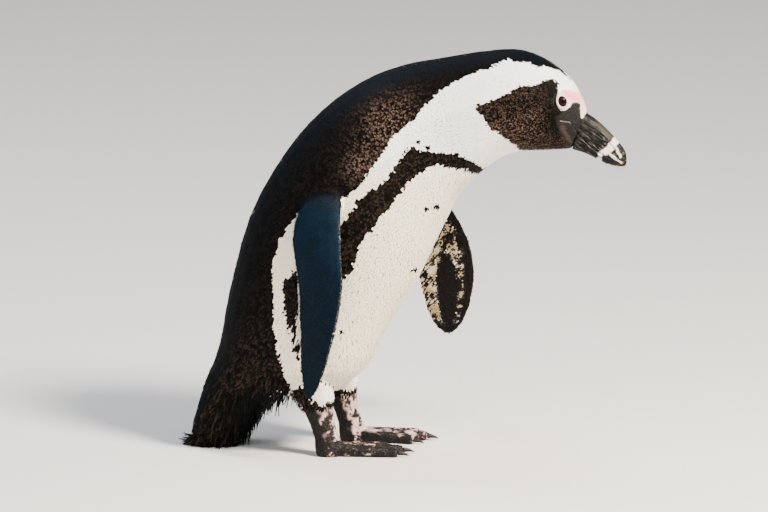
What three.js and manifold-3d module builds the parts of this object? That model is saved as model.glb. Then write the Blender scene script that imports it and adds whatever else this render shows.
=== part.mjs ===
// African penguin: a still, life-size model of an adult that leans forward with its bill lowered.
//
// Millimetres, +Z up. The bird faces +X, its left side is at +Y, and it stands on the plane Z = 0.
// The exported group is moved so that its origin is the middle of its footprint, at the floor.

import * as THREE from 'three';
import { mergeVertices } from 'three/addons/utils/BufferGeometryUtils.js';
import Module from 'manifold-3d';

// ---------------------------------------------------------------------------------------------
// Driving dimensions
// ---------------------------------------------------------------------------------------------

const GAP = 0.3; // clearance kept between pieces that meet

// The body from the bill's root to the tail's tip. Each station is a flat section across the bird.
// back and front are its ends on the outline seen from the side, [x, z]; half is half its breadth;
// widest tells where it is broadest, from 0 at the back to 1 at the front.
const STATIONS = [
  { name: 'bill root', back: [230, 334], front: [215, 299], half: 11.5, widest: 0.55 },
  { name: 'lores', back: [226, 349], front: [201, 297.5], half: 16, widest: 0.52 },
  { name: 'eyes', back: [217, 362], front: [184, 296], half: 22, widest: 0.46 },
  { name: 'crown', back: [200, 378], front: [166, 295], half: 27, widest: 0.46 },
  { name: 'nape', back: [170, 391.5], front: [147, 288], half: 32, widest: 0.47 },
  { name: 'throat', back: [137, 391], front: [130, 275], half: 36, widest: 0.48 },
  { name: 'neck', back: [90, 382], front: [107, 251], half: 42, widest: 0.48 },
  { name: 'neck root', back: [50, 373], front: [95, 228], half: 51, widest: 0.46 },
  { name: 'shoulders', back: [13, 357], front: [83, 203], half: 61, widest: 0.44 },
  { name: 'breast', back: [-25, 329], front: [68, 171], half: 68, widest: 0.45 },
  { name: 'chest', back: [-60, 289], front: [53, 147], half: 71, widest: 0.48 },
  { name: 'belly', back: [-94, 229], front: [36, 118], half: 72, widest: 0.5 },
  { name: 'flanks', back: [-115, 155], front: [19, 84], half: 70, widest: 0.52 },
  { name: 'hips', back: [-124, 106], front: [-6, 64], half: 65, widest: 0.48 },
  { name: 'rump', back: [-135, 70], front: [-44, 60], half: 55, widest: 0.42 },
  { name: 'tail root', back: [-142, 48], front: [-70, 55], half: 44, widest: 0.38 },
  { name: 'tail coverts', back: [-148, 28], front: [-84, 35], half: 34, widest: 0.36 },
  { name: 'tail', back: [-151, 10], front: [-99, 14], half: 27, widest: 0.36 },
  { name: 'tail tip', back: [-154, -5], front: [-118, -4], half: 22, widest: 0.36 },
];
const BODY_FULLNESS = 0.88; // 1 makes each section an ellipse, less makes it squarer
const BODY_AROUND = 28; // sides of a section

// Named parts of the body: the stations each runs between, and its rings.
const BODY_PARTS = [
  { name: 'head', from: 'bill root', to: 'throat', rings: 16, colour: 0x1c1c20 },
  { name: 'neck', from: 'throat', to: 'neck root', rings: 7, colour: 0xefe9dc },
  { name: 'trunk', from: 'neck root', to: 'tail root', rings: 24, colour: 0xf0ebe0 },
  { name: 'tail', from: 'tail root', to: 'tail tip', rings: 8, colour: 0x2a2522 },
];

// The bill, seen from the side: ridge, line of the mouth and lower edge, root to tip, [x, z].
const CULMEN = [[230, 334], [243.5, 324], [256.5, 311], [266, 299], [267.6, 287.5]];
const MOUTH = [[222.3, 316], [236, 302], [249.5, 294], [260, 288.8], [264.8, 283]];
const UNDERSIDE = [[215, 298.6], [229, 295.2], [243, 288.5], [254, 283], [263.5, 281.6]];
const BILL_HALF = [11, 9.6, 7.6, 5.2, 1.6]; // half breadth at the same five places
const BILL_RINGS = 14;
const BILL_AROUND = 16;
const LOWER_BILL_REACH = 0.93; // the lower half stops short of the hooked tip

// Eyes: balls sunk in their sockets, so that a disc about 10 mm across stands free.
const EYE = { x: 208.5, z: 347.3, y: 16, radius: 7 };

// Flippers: points along the middle of the blade, [x, y, z]; the way its front edge faces at the
// root and at the tip, between which the blade twists; and a factor on its breadth, as the one
// that is held away from the body is spread a little wider.
const FLIPPERS = [
  {
    name: 'flipper_right',
    joints: { shoulder: [-5, -46, 284], elbow: [-15, -80, 228], wrist: [-10.5, -87, 166], tip: [-23, -83, 64] },
    lead: { root: [0.99, -0.1, 0], tip: [0.71, -0.7, 0] },
    broad: 0.92,
  },
  {
    name: 'flipper_left',
    joints: { shoulder: [10, 46, 276], elbow: [45, 80, 222], wrist: [67, 110, 167], tip: [60, 170, 82] },
    lead: { root: [0.97, 0.25, 0], tip: [0.97, 0.25, 0] },
    broad: 1,
  },
];
// Half breadth of the blade and its greatest thickness at places along it (0 root, 1 tip).
const BLADE = [
  { along: 0, half: 14, thick: 15 },
  { along: 0.15, half: 21, thick: 13 },
  { along: 0.32, half: 30, thick: 11 },
  { along: 0.5, half: 30.5, thick: 9 },
  { along: 0.68, half: 27.5, thick: 7 },
  { along: 0.84, half: 22.5, thick: 5 },
  { along: 0.95, half: 15, thick: 3.4 },
  { along: 1, half: 5, thick: 2 },
];
const BLADE_FRONT_HEAVY = 0.35; // share by which the front of the blade is thicker, the rear thinner
const BLADE_RINGS = 18;
const BLADE_AROUND = 14;

// Legs: sections from inside the belly to the ankle. [height, x, half length, half breadth].
const LEG_SECTIONS = [
  [104, -38, 28, 23],
  [76, -33, 24, 20],
  [57, -27, 19.5, 16],
  [48, -24, 15, 12],
  [30, -18.5, 12.2, 9.6],
  [16, -14, 12.2, 9.8],
];
const LEG_AROUND = 16;
const STANCE = 38; // distance of each leg from the plane of symmetry
const LEFT_FOOT_AHEAD = 7; // the left foot stands this much further forward

// Feet: a heel under the ankle, three webbed front toes and a small hind toe.
const TOES = {
  inner: { turn: 18, length: 52, claw: 10.5 },
  middle: { turn: 0, length: 62, claw: 11.5 },
  outer: { turn: -13, length: 57, claw: 11 },
};
const TOE_ROOT = { z: 6.6, half: 7.2, high: 7.6 };
const TOE_END = { z: 4, half: 4.9, high: 4.7 };
const FEET_TURN = { right: 19, left: 13 }; // degrees by which each foot points to the bird's left
const WEB = { reach: 0.86, sag: 0.62, bottom: 0.9, thick: 2.6 };
const HIND_TOE = { from: [-9, 7, 6], to: [-2, 15, 4.6], half: 3.2, claw: 7 };
const CLAW_HALF = 2.9;

const COLOURS = {
  bill: 0x2b2f36,
  eye: 0x1a100c,
  flipper: 0x17202b,
  leg: 0x2f2420,
  foot: 0xc79a92,
  claw: 0x1b1818,
};

// ---------------------------------------------------------------------------------------------
// Solids
// ---------------------------------------------------------------------------------------------

const wasm = await Module();
wasm.setup();

/** Joins rings of equal length into a closed skin with a flat fan at each end, faces outward. */
function loft(rings) {
  const around = rings[0].length;
  const positions = rings.flat().flatMap((point) => [point.x, point.y, point.z]);
  const faces = [];
  for (let ring = 0; ring + 1 < rings.length; ring += 1) {
    for (let side = 0; side < around; side += 1) {
      const next = (side + 1) % around;
      const a = ring * around + side;
      const b = ring * around + next;
      faces.push(a, b, b + around, a, b + around, a + around);
    }
  }
  for (const [ring, facing] of [[0, -1], [rings.length - 1, 1]]) {
    const centre = new THREE.Vector3();
    rings[ring].forEach((point) => centre.addScaledVector(point, 1 / around));
    const hub = positions.length / 3;
    positions.push(centre.x, centre.y, centre.z);
    for (let side = 0; side < around; side += 1) {
      const a = ring * around + side;
      const b = ring * around + ((side + 1) % around);
      faces.push(hub, facing > 0 ? a : b, facing > 0 ? b : a);
    }
  }
  const geometry = new THREE.BufferGeometry();
  geometry.setAttribute('position', new THREE.Float32BufferAttribute(positions, 3));
  geometry.setIndex(faces);
  return enclosedVolume(geometry) < 0 ? turnedOut(geometry) : geometry;
}

/** Volume inside an indexed geometry, negative where its faces point inward. */
function enclosedVolume(geometry) {
  const { position } = geometry.attributes;
  const corner = (i) => new THREE.Vector3().fromBufferAttribute(position, geometry.index.getX(i));
  let sixfold = 0;
  for (let i = 0; i < geometry.index.count; i += 3) {
    sixfold += corner(i).dot(corner(i + 1).cross(corner(i + 2)));
  }
  return sixfold / 6;
}

/** Reverses every face. */
function turnedOut(geometry) {
  const { array } = geometry.index;
  for (let i = 0; i < array.length; i += 3) {
    [array[i + 1], array[i + 2]] = [array[i + 2], array[i + 1]];
  }
  return geometry;
}

/** A geometry as a solid that can be joined and cut. */
function solidOf(geometry) {
  const bare = geometry.clone();
  bare.deleteAttribute('normal');
  bare.deleteAttribute('uv');
  const merged = mergeVertices(bare, 1e-4);
  return new wasm.Manifold(new wasm.Mesh({
    numProp: 3,
    vertProperties: new Float32Array(merged.attributes.position.array),
    triVerts: new Uint32Array(merged.index.array),
  }));
}

/** A solid as a geometry with flat-shaded faces. */
function geometryOf(solid) {
  const mesh = solid.getMesh();
  const geometry = new THREE.BufferGeometry();
  geometry.setAttribute('position', new THREE.Float32BufferAttribute(mesh.vertProperties, 3));
  geometry.setIndex(Array.from(mesh.triVerts));
  const flat = geometry.toNonIndexed();
  flat.computeVertexNormals();
  return flat;
}

/** Everything above the floor, as a block larger than the bird. */
function aboveFloor() {
  const size = 1000;
  const block = new THREE.BoxGeometry(size, size, size);
  block.translate(0, 0, size / 2);
  return solidOf(block);
}

/** A named piece in its own material. */
function piece(name, solid, colour, roughness) {
  const material = new THREE.MeshStandardMaterial({ color: colour, roughness, metalness: 0 });
  const mesh = new THREE.Mesh(geometryOf(solid), material);
  mesh.name = name;
  return mesh;
}

/** sin or cos with its size raised to a power, which squares off an ellipse. */
const rounded = (value, power) => Math.sign(value) * Math.abs(value) ** power;

// ---------------------------------------------------------------------------------------------
// Head, neck, trunk and tail
// ---------------------------------------------------------------------------------------------

const pair = ([x, z]) => new THREE.Vector2(x, z);
const backLine = new THREE.SplineCurve(STATIONS.map((station) => pair(station.back)));
const frontLine = new THREE.SplineCurve(STATIONS.map((station) => pair(station.front)));
const breadthLine = new THREE.SplineCurve(STATIONS.map(({ half, widest }) => pair([half, widest])));

/** The place of a station on the three lines, from 0 to 1. */
function placeOf(name) {
  return STATIONS.findIndex((station) => station.name === name) / (STATIONS.length - 1);
}

/** One section of the body: `grow` swells it, `shift` slides it squarely along the body. */
function bodyRing(place, grow = 0, shift = 0) {
  const back = backLine.getPoint(place);
  const front = frontLine.getPoint(place);
  const breadth = breadthLine.getPoint(place);
  const down = front.clone().sub(back).normalize();
  const along = new THREE.Vector2(down.y, -down.x);
  back.addScaledVector(down, -grow).addScaledVector(along, shift);
  front.addScaledVector(down, grow).addScaledVector(along, shift);
  const ring = [];
  for (let side = 0; side < BODY_AROUND; side += 1) {
    const angle = (side / BODY_AROUND) * 2 * Math.PI;
    const even = (1 - Math.cos(angle)) / 2;
    const depth = even + 4 * (breadth.y - 0.5) * even * (1 - even);
    const spot = back.clone().lerp(front, depth);
    const y = (breadth.x + grow) * rounded(Math.sin(angle), BODY_FULLNESS);
    ring.push(new THREE.Vector3(spot.x, y, spot.y));
  }
  return ring;
}

/** A length of the body between two stations, half a gap short at each end, or swollen by `grow`. */
function bodyLength({ from, to, rings }, grow = 0) {
  const start = placeOf(from);
  const end = placeOf(to);
  const list = [];
  for (let i = 0; i <= rings; i += 1) {
    const inset = GAP / 2 - grow;
    const shift = i === 0 ? inset : i === rings ? -inset : 0;
    list.push(bodyRing(start + ((end - start) * i) / rings, grow, shift));
  }
  return solidOf(loft(list));
}

/** Both sockets, a gap wider than the eyes. */
function eyeSockets() {
  const sockets = [1, -1].map((side) => solidOf(eyeBall(side, EYE.radius + GAP)));
  return sockets[0].add(sockets[1]);
}

function eyeBall(side, radius) {
  const ball = new THREE.SphereGeometry(radius, 18, 12);
  ball.rotateX(Math.PI / 2);
  ball.translate(EYE.x, side * EYE.y, EYE.z);
  return ball;
}

// ---------------------------------------------------------------------------------------------
// Bill
// ---------------------------------------------------------------------------------------------

const culmenLine = new THREE.SplineCurve(CULMEN.map(pair));
const mouthLine = new THREE.SplineCurve(MOUTH.map(pair));
const undersideLine = new THREE.SplineCurve(UNDERSIDE.map(pair));
const billBreadth = new THREE.SplineCurve(BILL_HALF.map((half) => pair([half, 0])));

/** One section of half the bill: an arch from the mouth line over the ridge, closed by a flat. */
function billRing(place, ridge, flatOffset) {
  const mouth = mouthLine.getPoint(place);
  const crest = ridge.getPoint(place);
  const half = billBreadth.getPoint(place).x;
  const rise = crest.clone().sub(mouth).normalize();
  mouth.addScaledVector(rise, flatOffset);
  const arch = BILL_AROUND / 2;
  const ring = [];
  for (let side = 0; side <= arch; side += 1) {
    const angle = (side / arch) * Math.PI;
    const spot = mouth.clone().lerp(crest, rounded(Math.sin(angle), 0.9));
    ring.push(new THREE.Vector3(spot.x, half * rounded(Math.cos(angle), 0.72), spot.y));
  }
  for (let side = 1; side < arch; side += 1) {
    const across = 1 - (2 * side) / arch;
    ring.push(new THREE.Vector3(mouth.x, -half * across, mouth.y));
  }
  return ring;
}

/** The upper or lower half of the bill, a gap clear of the face and of the other half. */
function billHalf(ridge, reach) {
  const rings = [];
  for (let i = 0; i <= BILL_RINGS; i += 1) {
    rings.push(billRing((reach * i) / BILL_RINGS, ridge, GAP / 2));
  }
  const root = pair(CULMEN[0]).sub(pair(UNDERSIDE[0])).normalize();
  const half = loft(rings);
  half.translate(1.5 * GAP * root.y, 0, -1.5 * GAP * root.x);
  return solidOf(half);
}

// ---------------------------------------------------------------------------------------------
// Flippers
// ---------------------------------------------------------------------------------------------

/** Half breadth and thickness of the blade at a place along it. */
function bladeAt(along) {
  const next = Math.max(1, BLADE.findIndex((row) => row.along >= along));
  const [low, high] = [BLADE[next - 1], BLADE[next]];
  const share = (along - low.along) / (high.along - low.along);
  const eased = share * share * (3 - 2 * share) * 0.35 + share * 0.65;
  return {
    half: THREE.MathUtils.lerp(low.half, high.half, eased),
    thick: THREE.MathUtils.lerp(low.thick, high.thick, eased),
  };
}

/** A blade with a blunt front edge and a thin rear edge, swept along its joints. */
function flipper({ joints, lead, broad }) {
  const axis = new THREE.CatmullRomCurve3(Object.values(joints).map((xyz) => new THREE.Vector3(...xyz)));
  const rings = [];
  for (let i = 0; i <= BLADE_RINGS; i += 1) {
    const along = 1 - (1 - i / BLADE_RINGS) ** 1.25;
    const centre = axis.getPointAt(along);
    const tangent = axis.getTangentAt(along);
    const forward = new THREE.Vector3(...lead.root).lerp(new THREE.Vector3(...lead.tip), along);
    forward.addScaledVector(tangent, -forward.dot(tangent)).normalize();
    const outward = tangent.clone().cross(forward);
    const { half, thick } = bladeAt(along);
    const ring = [];
    for (let side = 0; side < BLADE_AROUND; side += 1) {
      const angle = (side / BLADE_AROUND) * 2 * Math.PI;
      const fullness = 1 + BLADE_FRONT_HEAVY * Math.cos(angle);
      const spot = centre.clone();
      spot.addScaledVector(forward, broad * half * Math.cos(angle));
      spot.addScaledVector(outward, (thick / 2) * Math.sin(angle) * fullness);
      ring.push(spot);
    }
    rings.push(ring);
  }
  return solidOf(loft(rings));
}

// ---------------------------------------------------------------------------------------------
// Legs and feet
// ---------------------------------------------------------------------------------------------

/** A level oval. */
function oval(x, z, halfLength, halfBreadth) {
  return Array.from({ length: LEG_AROUND }, (_, side) => {
    const angle = (side / LEG_AROUND) * 2 * Math.PI;
    return new THREE.Vector3(x + halfLength * Math.cos(angle), halfBreadth * Math.sin(angle), z);
  });
}

/** Leg from the belly feathers to the ankle, in the foot's own place with its leg at y = 0. */
function leg() {
  return solidOf(loft(LEG_SECTIONS.map(([z, x, length, breadth]) => oval(x, z, length, breadth))));
}

/** A tapering rod with round sections between two points. */
function rod(from, to, start, end, steps = 4, around = 12) {
  const way = to.clone().sub(from).normalize();
  const across = new THREE.Vector3(0, 0, 1).cross(way).normalize();
  const up = way.clone().cross(across);
  const rings = [];
  for (let i = 0; i <= steps; i += 1) {
    const share = i / steps;
    const half = THREE.MathUtils.lerp(start.half, end.half, share);
    const high = THREE.MathUtils.lerp(start.high, end.high, share);
    const ring = [];
    for (let side = 0; side < around; side += 1) {
      const angle = (side / around) * 2 * Math.PI;
      const spot = from.clone().lerp(to, share);
      spot.addScaledVector(across, half * Math.cos(angle)).addScaledVector(up, high * Math.sin(angle));
      ring.push(spot);
    }
    rings.push(ring);
  }
  return loft(rings);
}

const ANKLE_X = LEG_SECTIONS.at(-1)[1];
const ANKLE_Z = LEG_SECTIONS.at(-1)[0];

/** Where a front toe starts and ends. `inward` is +1 where the bird's middle is at +Y. */
function toeLine({ turn, length }, inward) {
  const angle = THREE.MathUtils.degToRad(turn * inward);
  const way = new THREE.Vector3(Math.cos(angle), Math.sin(angle), 0);
  const root = new THREE.Vector3(ANKLE_X, 0, TOE_ROOT.z).addScaledVector(way, 3);
  const end = new THREE.Vector3(ANKLE_X, 0, TOE_END.z).addScaledVector(way, length + 10);
  return { root, end, way };
}

/** The skin between two toes, scooped along its front edge. */
function web(first, second) {
  const corner = (line) => line.root.clone().lerp(line.end, WEB.reach);
  const [a, b] = [corner(first), corner(second)];
  const middle = a.clone().add(b).multiplyScalar(0.5);
  const scoop = first.root.clone().lerp(middle, WEB.sag / WEB.reach);
  const outline = new THREE.Shape();
  outline.moveTo(ANKLE_X, 0);
  outline.lineTo(a.x, a.y);
  outline.quadraticCurveTo(scoop.x, scoop.y, b.x, b.y);
  outline.closePath();
  const plate = new THREE.ExtrudeGeometry(outline, {
    depth: WEB.thick, bevelEnabled: false, curveSegments: 8,
  });
  plate.translate(0, 0, WEB.bottom);
  return solidOf(plate);
}

/** Heel, toes and webs joined and trimmed level, with the leg at y = 0. */
function foot(inward, floor) {
  const heel = loft([
    oval(ANKLE_X, ANKLE_Z - GAP, 12.2, 9.8),
    oval(ANKLE_X + 1, 8, 13, 10.6),
    oval(ANKLE_X + 2, -1, 12, 9.6),
  ]);
  const lines = Object.values(TOES).map((toe) => toeLine(toe, inward));
  let whole = solidOf(heel);
  for (const { root, end } of lines) {
    whole = whole.add(solidOf(rod(root, end, TOE_ROOT, TOE_END)));
  }
  whole = whole.add(web(lines[0], lines[1])).add(web(lines[1], lines[2]));
  const [from, to] = hindLine(inward);
  const stub = { half: HIND_TOE.half, high: HIND_TOE.half };
  whole = whole.add(solidOf(rod(from, to, stub, stub, 2, 10)));
  return whole.intersect(floor);
}

function hindLine(inward) {
  return [HIND_TOE.from, HIND_TOE.to].map(([x, y, z]) => new THREE.Vector3(x + ANKLE_X / 2, y * inward, z));
}

/** A horn claw that curves down to a blunt point just clear of the floor. */
function claw(base, way, length, half) {
  const steps = 5;
  const sides = 8;
  const across = new THREE.Vector3(0, 0, 1).cross(way).normalize();
  const rings = [];
  for (let i = 0; i <= steps; i += 1) {
    const share = i / steps;
    const radius = half * (1 - 0.86 * share ** 1.3);
    const centre = base.clone().addScaledVector(way, GAP + length * share);
    const lowest = radius + GAP;
    centre.z = Math.max(lowest, base.z + 1.2 * share - (base.z - 0.4) * share ** 2);
    const ring = [];
    for (let side = 0; side < sides; side += 1) {
      const angle = (side / sides) * 2 * Math.PI;
      const spot = centre.clone().addScaledVector(across, 0.85 * radius * Math.cos(angle));
      spot.z += radius * Math.sin(angle);
      ring.push(spot);
    }
    rings.push(ring);
  }
  return solidOf(loft(rings));
}

/** Leg, foot and claws of one side, in their own group. */
function standingLeg(sideName, floor, grownTrunk) {
  const inward = sideName === 'right' ? 1 : -1;
  const ahead = sideName === 'left' ? LEFT_FOOT_AHEAD : 0;
  const group = new THREE.Group();
  group.position.set(ahead, -inward * STANCE, 0);

  const trunkHere = grownTrunk.translate([-ahead, inward * STANCE, 0]);
  group.add(piece(`leg_${sideName}`, leg().subtract(trunkHere), COLOURS.leg, 0.8));

  const paddle = new THREE.Group();
  paddle.position.x = ANKLE_X;
  paddle.rotation.z = THREE.MathUtils.degToRad(FEET_TURN[sideName]);
  const onAnkle = new THREE.Group();
  onAnkle.position.x = -ANKLE_X;
  paddle.add(onAnkle);
  group.add(paddle);

  onAnkle.add(piece(`foot_${sideName}`, foot(inward, floor), COLOURS.foot, 0.6));
  for (const [toeName, toe] of Object.entries(TOES)) {
    const { end, way } = toeLine(toe, inward);
    const horn = claw(end, way, toe.claw, CLAW_HALF);
    onAnkle.add(piece(`claw_${sideName}_${toeName}`, horn, COLOURS.claw, 0.45));
  }
  const [from, to] = hindLine(inward);
  const hindWay = to.clone().sub(from).setZ(0).normalize();
  const hindClaw = claw(to.clone().addScaledVector(hindWay, 0.6), hindWay, HIND_TOE.claw, 2);
  onAnkle.add(piece(`claw_${sideName}_hind`, hindClaw, COLOURS.claw, 0.45));
  return group;
}

// ---------------------------------------------------------------------------------------------
// The bird
// ---------------------------------------------------------------------------------------------

const bird = new THREE.Group();
const floor = aboveFloor();
const grownTrunk = bodyLength(BODY_PARTS.find(({ name }) => name === 'trunk'), 1.4 * GAP);

for (const part of BODY_PARTS) {
  let solid = bodyLength(part);
  if (part.name === 'head') solid = solid.subtract(eyeSockets());
  if (part.name === 'tail') solid = solid.intersect(floor);
  bird.add(piece(part.name, solid, part.colour, 0.85));
}

bird.add(piece('bill_upper', billHalf(culmenLine, 1), COLOURS.bill, 0.4));
bird.add(piece('bill_lower', billHalf(undersideLine, LOWER_BILL_REACH), COLOURS.bill, 0.4));
bird.add(piece('eye_right', solidOf(eyeBall(-1, EYE.radius)), COLOURS.eye, 0.1));
bird.add(piece('eye_left', solidOf(eyeBall(1, EYE.radius)), COLOURS.eye, 0.1));

for (const blade of FLIPPERS) {
  bird.add(piece(blade.name, flipper(blade).subtract(grownTrunk), COLOURS.flipper, 0.7));
}

bird.add(standingLeg('right', floor, grownTrunk));
bird.add(standingLeg('left', floor, grownTrunk));

// The footprint's middle becomes the origin.
const bounds = new THREE.Box3().setFromObject(bird);
const middle = bounds.getCenter(new THREE.Vector3());
bird.position.set(-middle.x, -middle.y, -bounds.min.z);

const africanPenguin = new THREE.Group();
africanPenguin.add(bird);

export default africanPenguin;
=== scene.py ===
# %% [markdown]
# # African penguin: skin, feathers, horn and eyes
#
# The bird stands, leans forward and lowers its bill. Its construction is already settled: head,
# neck, trunk, tail, flippers, legs and feet are plain solids out to the tips of the feathers. This
# script gives them their looks. One skin is shrunk a feather's depth inside the solids, and tens
# of thousands of small solid feathers are laid over it, along the body from bill to tail.
#
# Everything is in metres in the scene. Places on the bird are written in millimetres in the bird's
# own plan: x forward, y to its left, z up from the floor.

# %% The frame
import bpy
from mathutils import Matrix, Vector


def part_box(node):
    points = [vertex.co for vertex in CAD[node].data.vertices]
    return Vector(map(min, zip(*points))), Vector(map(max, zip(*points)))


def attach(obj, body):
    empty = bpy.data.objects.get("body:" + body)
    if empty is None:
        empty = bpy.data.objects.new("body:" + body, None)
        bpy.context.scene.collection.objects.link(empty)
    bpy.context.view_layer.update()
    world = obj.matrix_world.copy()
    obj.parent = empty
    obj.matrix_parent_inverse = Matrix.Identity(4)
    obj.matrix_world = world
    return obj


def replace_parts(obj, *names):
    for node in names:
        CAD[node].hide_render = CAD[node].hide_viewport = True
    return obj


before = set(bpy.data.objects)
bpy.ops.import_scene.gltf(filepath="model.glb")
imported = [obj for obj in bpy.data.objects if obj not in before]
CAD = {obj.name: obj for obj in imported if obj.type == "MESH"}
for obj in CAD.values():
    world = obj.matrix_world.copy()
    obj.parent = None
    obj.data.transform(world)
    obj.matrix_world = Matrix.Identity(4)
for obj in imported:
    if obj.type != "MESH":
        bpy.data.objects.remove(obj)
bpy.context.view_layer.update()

import math

import bmesh
import bpy
import numpy as np
from mathutils import Vector, noise
from mathutils.bvhtree import BVHTree

MM = 0.001
print("pieces of the frame:", len(CAD))

# %% [markdown]
# ## The bird's plan
#
# The solids stand with the middle of their footprint at the origin, but a bird is easier to
# describe from its plane of symmetry. The two eyes tell where that plan lies: halfway between them
# is the point (208.5, 0, 347.3) of the plan. Two small functions go to and fro.

# %% Plan and place
EYES_IN_PLAN = np.array([208.5, 0.0, 347.3])


def middle_of(name):
    low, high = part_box(name)
    return np.array((low + high) / 2)


PLAN_ORIGIN = (middle_of("eye_left") + middle_of("eye_right")) / 2 - EYES_IN_PLAN * MM


def to_place(plan_points):
    """Millimetres in the bird's plan to metres in the scene."""
    return np.asarray(plan_points, float) * MM + PLAN_ORIGIN


def to_plan(points):
    """Metres in the scene to millimetres in the bird's plan."""
    return (np.asarray(points, float) - PLAN_ORIGIN) / MM


print("plan origin in the scene, mm:", np.round(PLAN_ORIGIN / MM, 1))

# %% [markdown]
# ## Camera, light and floor
#
# A long lens sixteen metres away looks at the bird's right side from a little ahead and above. The
# light is a studio's: a large soft key from the front right, a broad fill behind the camera, a
# rim light over the back, and a pale matt floor that fills the shadows.

# %% Camera
VIEW_AZIMUTH = math.radians(12)
VIEW_HEIGHT = math.radians(11)
VIEW_DISTANCE = 16.0
BIRD_DEPTH = 44  # mm by which the bird's middle stands nearer than the plan's origin
PICTURE = (768, 512)  # width and height of the render, pixels
MM_PER_PIXEL = 0.95
FLOOR_POINT = (350, 449)  # where the plan's origin shows in the render, pixels

camera_back = Vector((
    math.sin(VIEW_AZIMUTH) * math.cos(VIEW_HEIGHT),
    -math.cos(VIEW_AZIMUTH) * math.cos(VIEW_HEIGHT),
    math.sin(VIEW_HEIGHT),
))
camera_right = Vector((math.cos(VIEW_AZIMUTH), math.sin(VIEW_AZIMUTH), 0))
camera_up = camera_back.cross(camera_right)
aim = Vector(PLAN_ORIGIN)
aim += camera_right * (PICTURE[0] / 2 - FLOOR_POINT[0]) * MM_PER_PIXEL * MM
aim += camera_up * (FLOOR_POINT[1] - PICTURE[1] / 2) * MM_PER_PIXEL * MM
aim += camera_back * BIRD_DEPTH * MM

lens = bpy.data.cameras.new("camera")
camera = bpy.data.objects.new("camera", lens)
bpy.context.collection.objects.link(camera)
lens.sensor_width = 36
lens.lens = lens.sensor_width * VIEW_DISTANCE / (PICTURE[0] * MM_PER_PIXEL * MM)
lens.clip_end = 50
camera.rotation_mode = "QUATERNION"
camera.rotation_quaternion = (-camera_back).to_track_quat("-Z", "Y")
camera.location = aim + camera_back * VIEW_DISTANCE
bpy.context.scene.camera = camera
print("lens, mm:", round(lens.lens, 1))

# %% [markdown]
# ## Colours, nodes and materials
#
# Every colour below is written in hex, as it would look on a screen, and one function turns it into
# the linear light that a renderer works in. One helper adds a node with its settings and its links,
# so that a material reads as a list of what feeds what. A new material is a Principled shader with
# the constants of the real stuff: how rough it is, and how strongly it mirrors.

# %% Colours and nodes


def channel(value):
    """One sRGB channel, 0 to 1, as linear light."""
    return value / 12.92 if value <= 0.04045 else ((value + 0.055) / 1.055) ** 2.4


def linear(hex_colour):
    """An sRGB hex colour as a linear RGB triple."""
    digits = hex_colour.lstrip("#")
    return tuple(channel(int(digits[i:i + 2], 16) / 255) for i in (0, 2, 4))


def paint(hex_colour):
    return (*linear(hex_colour), 1.0)


def add(tree, kind, links=None, **settings):
    """Adds one node: settings go on the node, links and values on its inputs."""
    node = tree.nodes.new(kind)
    for name, value in settings.items():
        setattr(node, name, value)
    for name, value in (links or {}).items():
        if isinstance(value, bpy.types.NodeSocket):
            tree.links.new(value, node.inputs[name])
        else:
            node.inputs[name].default_value = value
    return node


def new_material(name, **shader):
    """A material with its shader's constants set; returns it, its node tree and its shader."""
    material = bpy.data.materials.new(name)
    material.use_nodes = True
    tree = material.node_tree
    surface = tree.nodes["Principled BSDF"]
    for socket, value in shader.items():
        surface.inputs[socket.replace("_", " ")].default_value = value
    return material, tree, surface


def new_object(name, mesh):
    thing = bpy.data.objects.new(name, mesh)
    bpy.context.collection.objects.link(thing)
    return thing


print("a middle grey in linear light:", round(channel(0.5), 3))

# %% Light
LIT_POINT = (60, 0, 200)  # the middle of the bird in its plan, mm


def soft_light(name, azimuth, height, distance, size, watts, colour):
    """A round area light that faces the bird: degrees round and up, then metres and watts."""
    lamp = bpy.data.lights.new(name, "AREA")
    lamp.shape = "DISK"
    lamp.size = size
    lamp.energy = watts
    lamp.color = linear(colour)
    holder = new_object(name, lamp)
    a, h = math.radians(azimuth), math.radians(height)
    away = Vector((math.sin(a) * math.cos(h), -math.cos(a) * math.cos(h), math.sin(h)))
    target = Vector(to_place(LIT_POINT))
    holder.location = target + away * distance
    holder.rotation_mode = "QUATERNION"
    holder.rotation_quaternion = (-away).to_track_quat("-Z", "Y")


# name, degrees round and up, distance and size in metres, watts, colour
soft_light("key_light", 58, 42, 2.2, 0.6, 226, "#fff4e6")
soft_light("fill_light", -20, 25, 3.0, 2.6, 50, "#eaf1fb")
soft_light("rim_light", -125, 50, 2.4, 1.2, 40, "#dbe7ff")

world = bpy.data.worlds.new("studio")
bpy.context.scene.world = world
world.use_nodes = True
backdrop = world.node_tree.nodes["Background"]
backdrop.inputs["Color"].default_value = paint("#eef1f4")
backdrop.inputs["Strength"].default_value = 0.62
print("lights:", len(bpy.data.lights))

# %% Floor: matt studio paper, which throws soft light up under the bird
FLOOR_HALF = 8  # m
floor_mesh = bpy.data.meshes.new("floor")
shaper = bmesh.new()
bmesh.ops.create_grid(shaper, x_segments=1, y_segments=1, size=FLOOR_HALF)
shaper.to_mesh(floor_mesh)
shaper.free()
floor = new_object("floor", floor_mesh)
floor_paint, _, floor_shader = new_material("matt studio paper", Roughness=0.9)
floor_shader.inputs["Base Color"].default_value = paint("#d9d6cf")
floor_mesh.materials.append(floor_paint)
print("floor side, m:", 2 * FLOOR_HALF)

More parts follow.
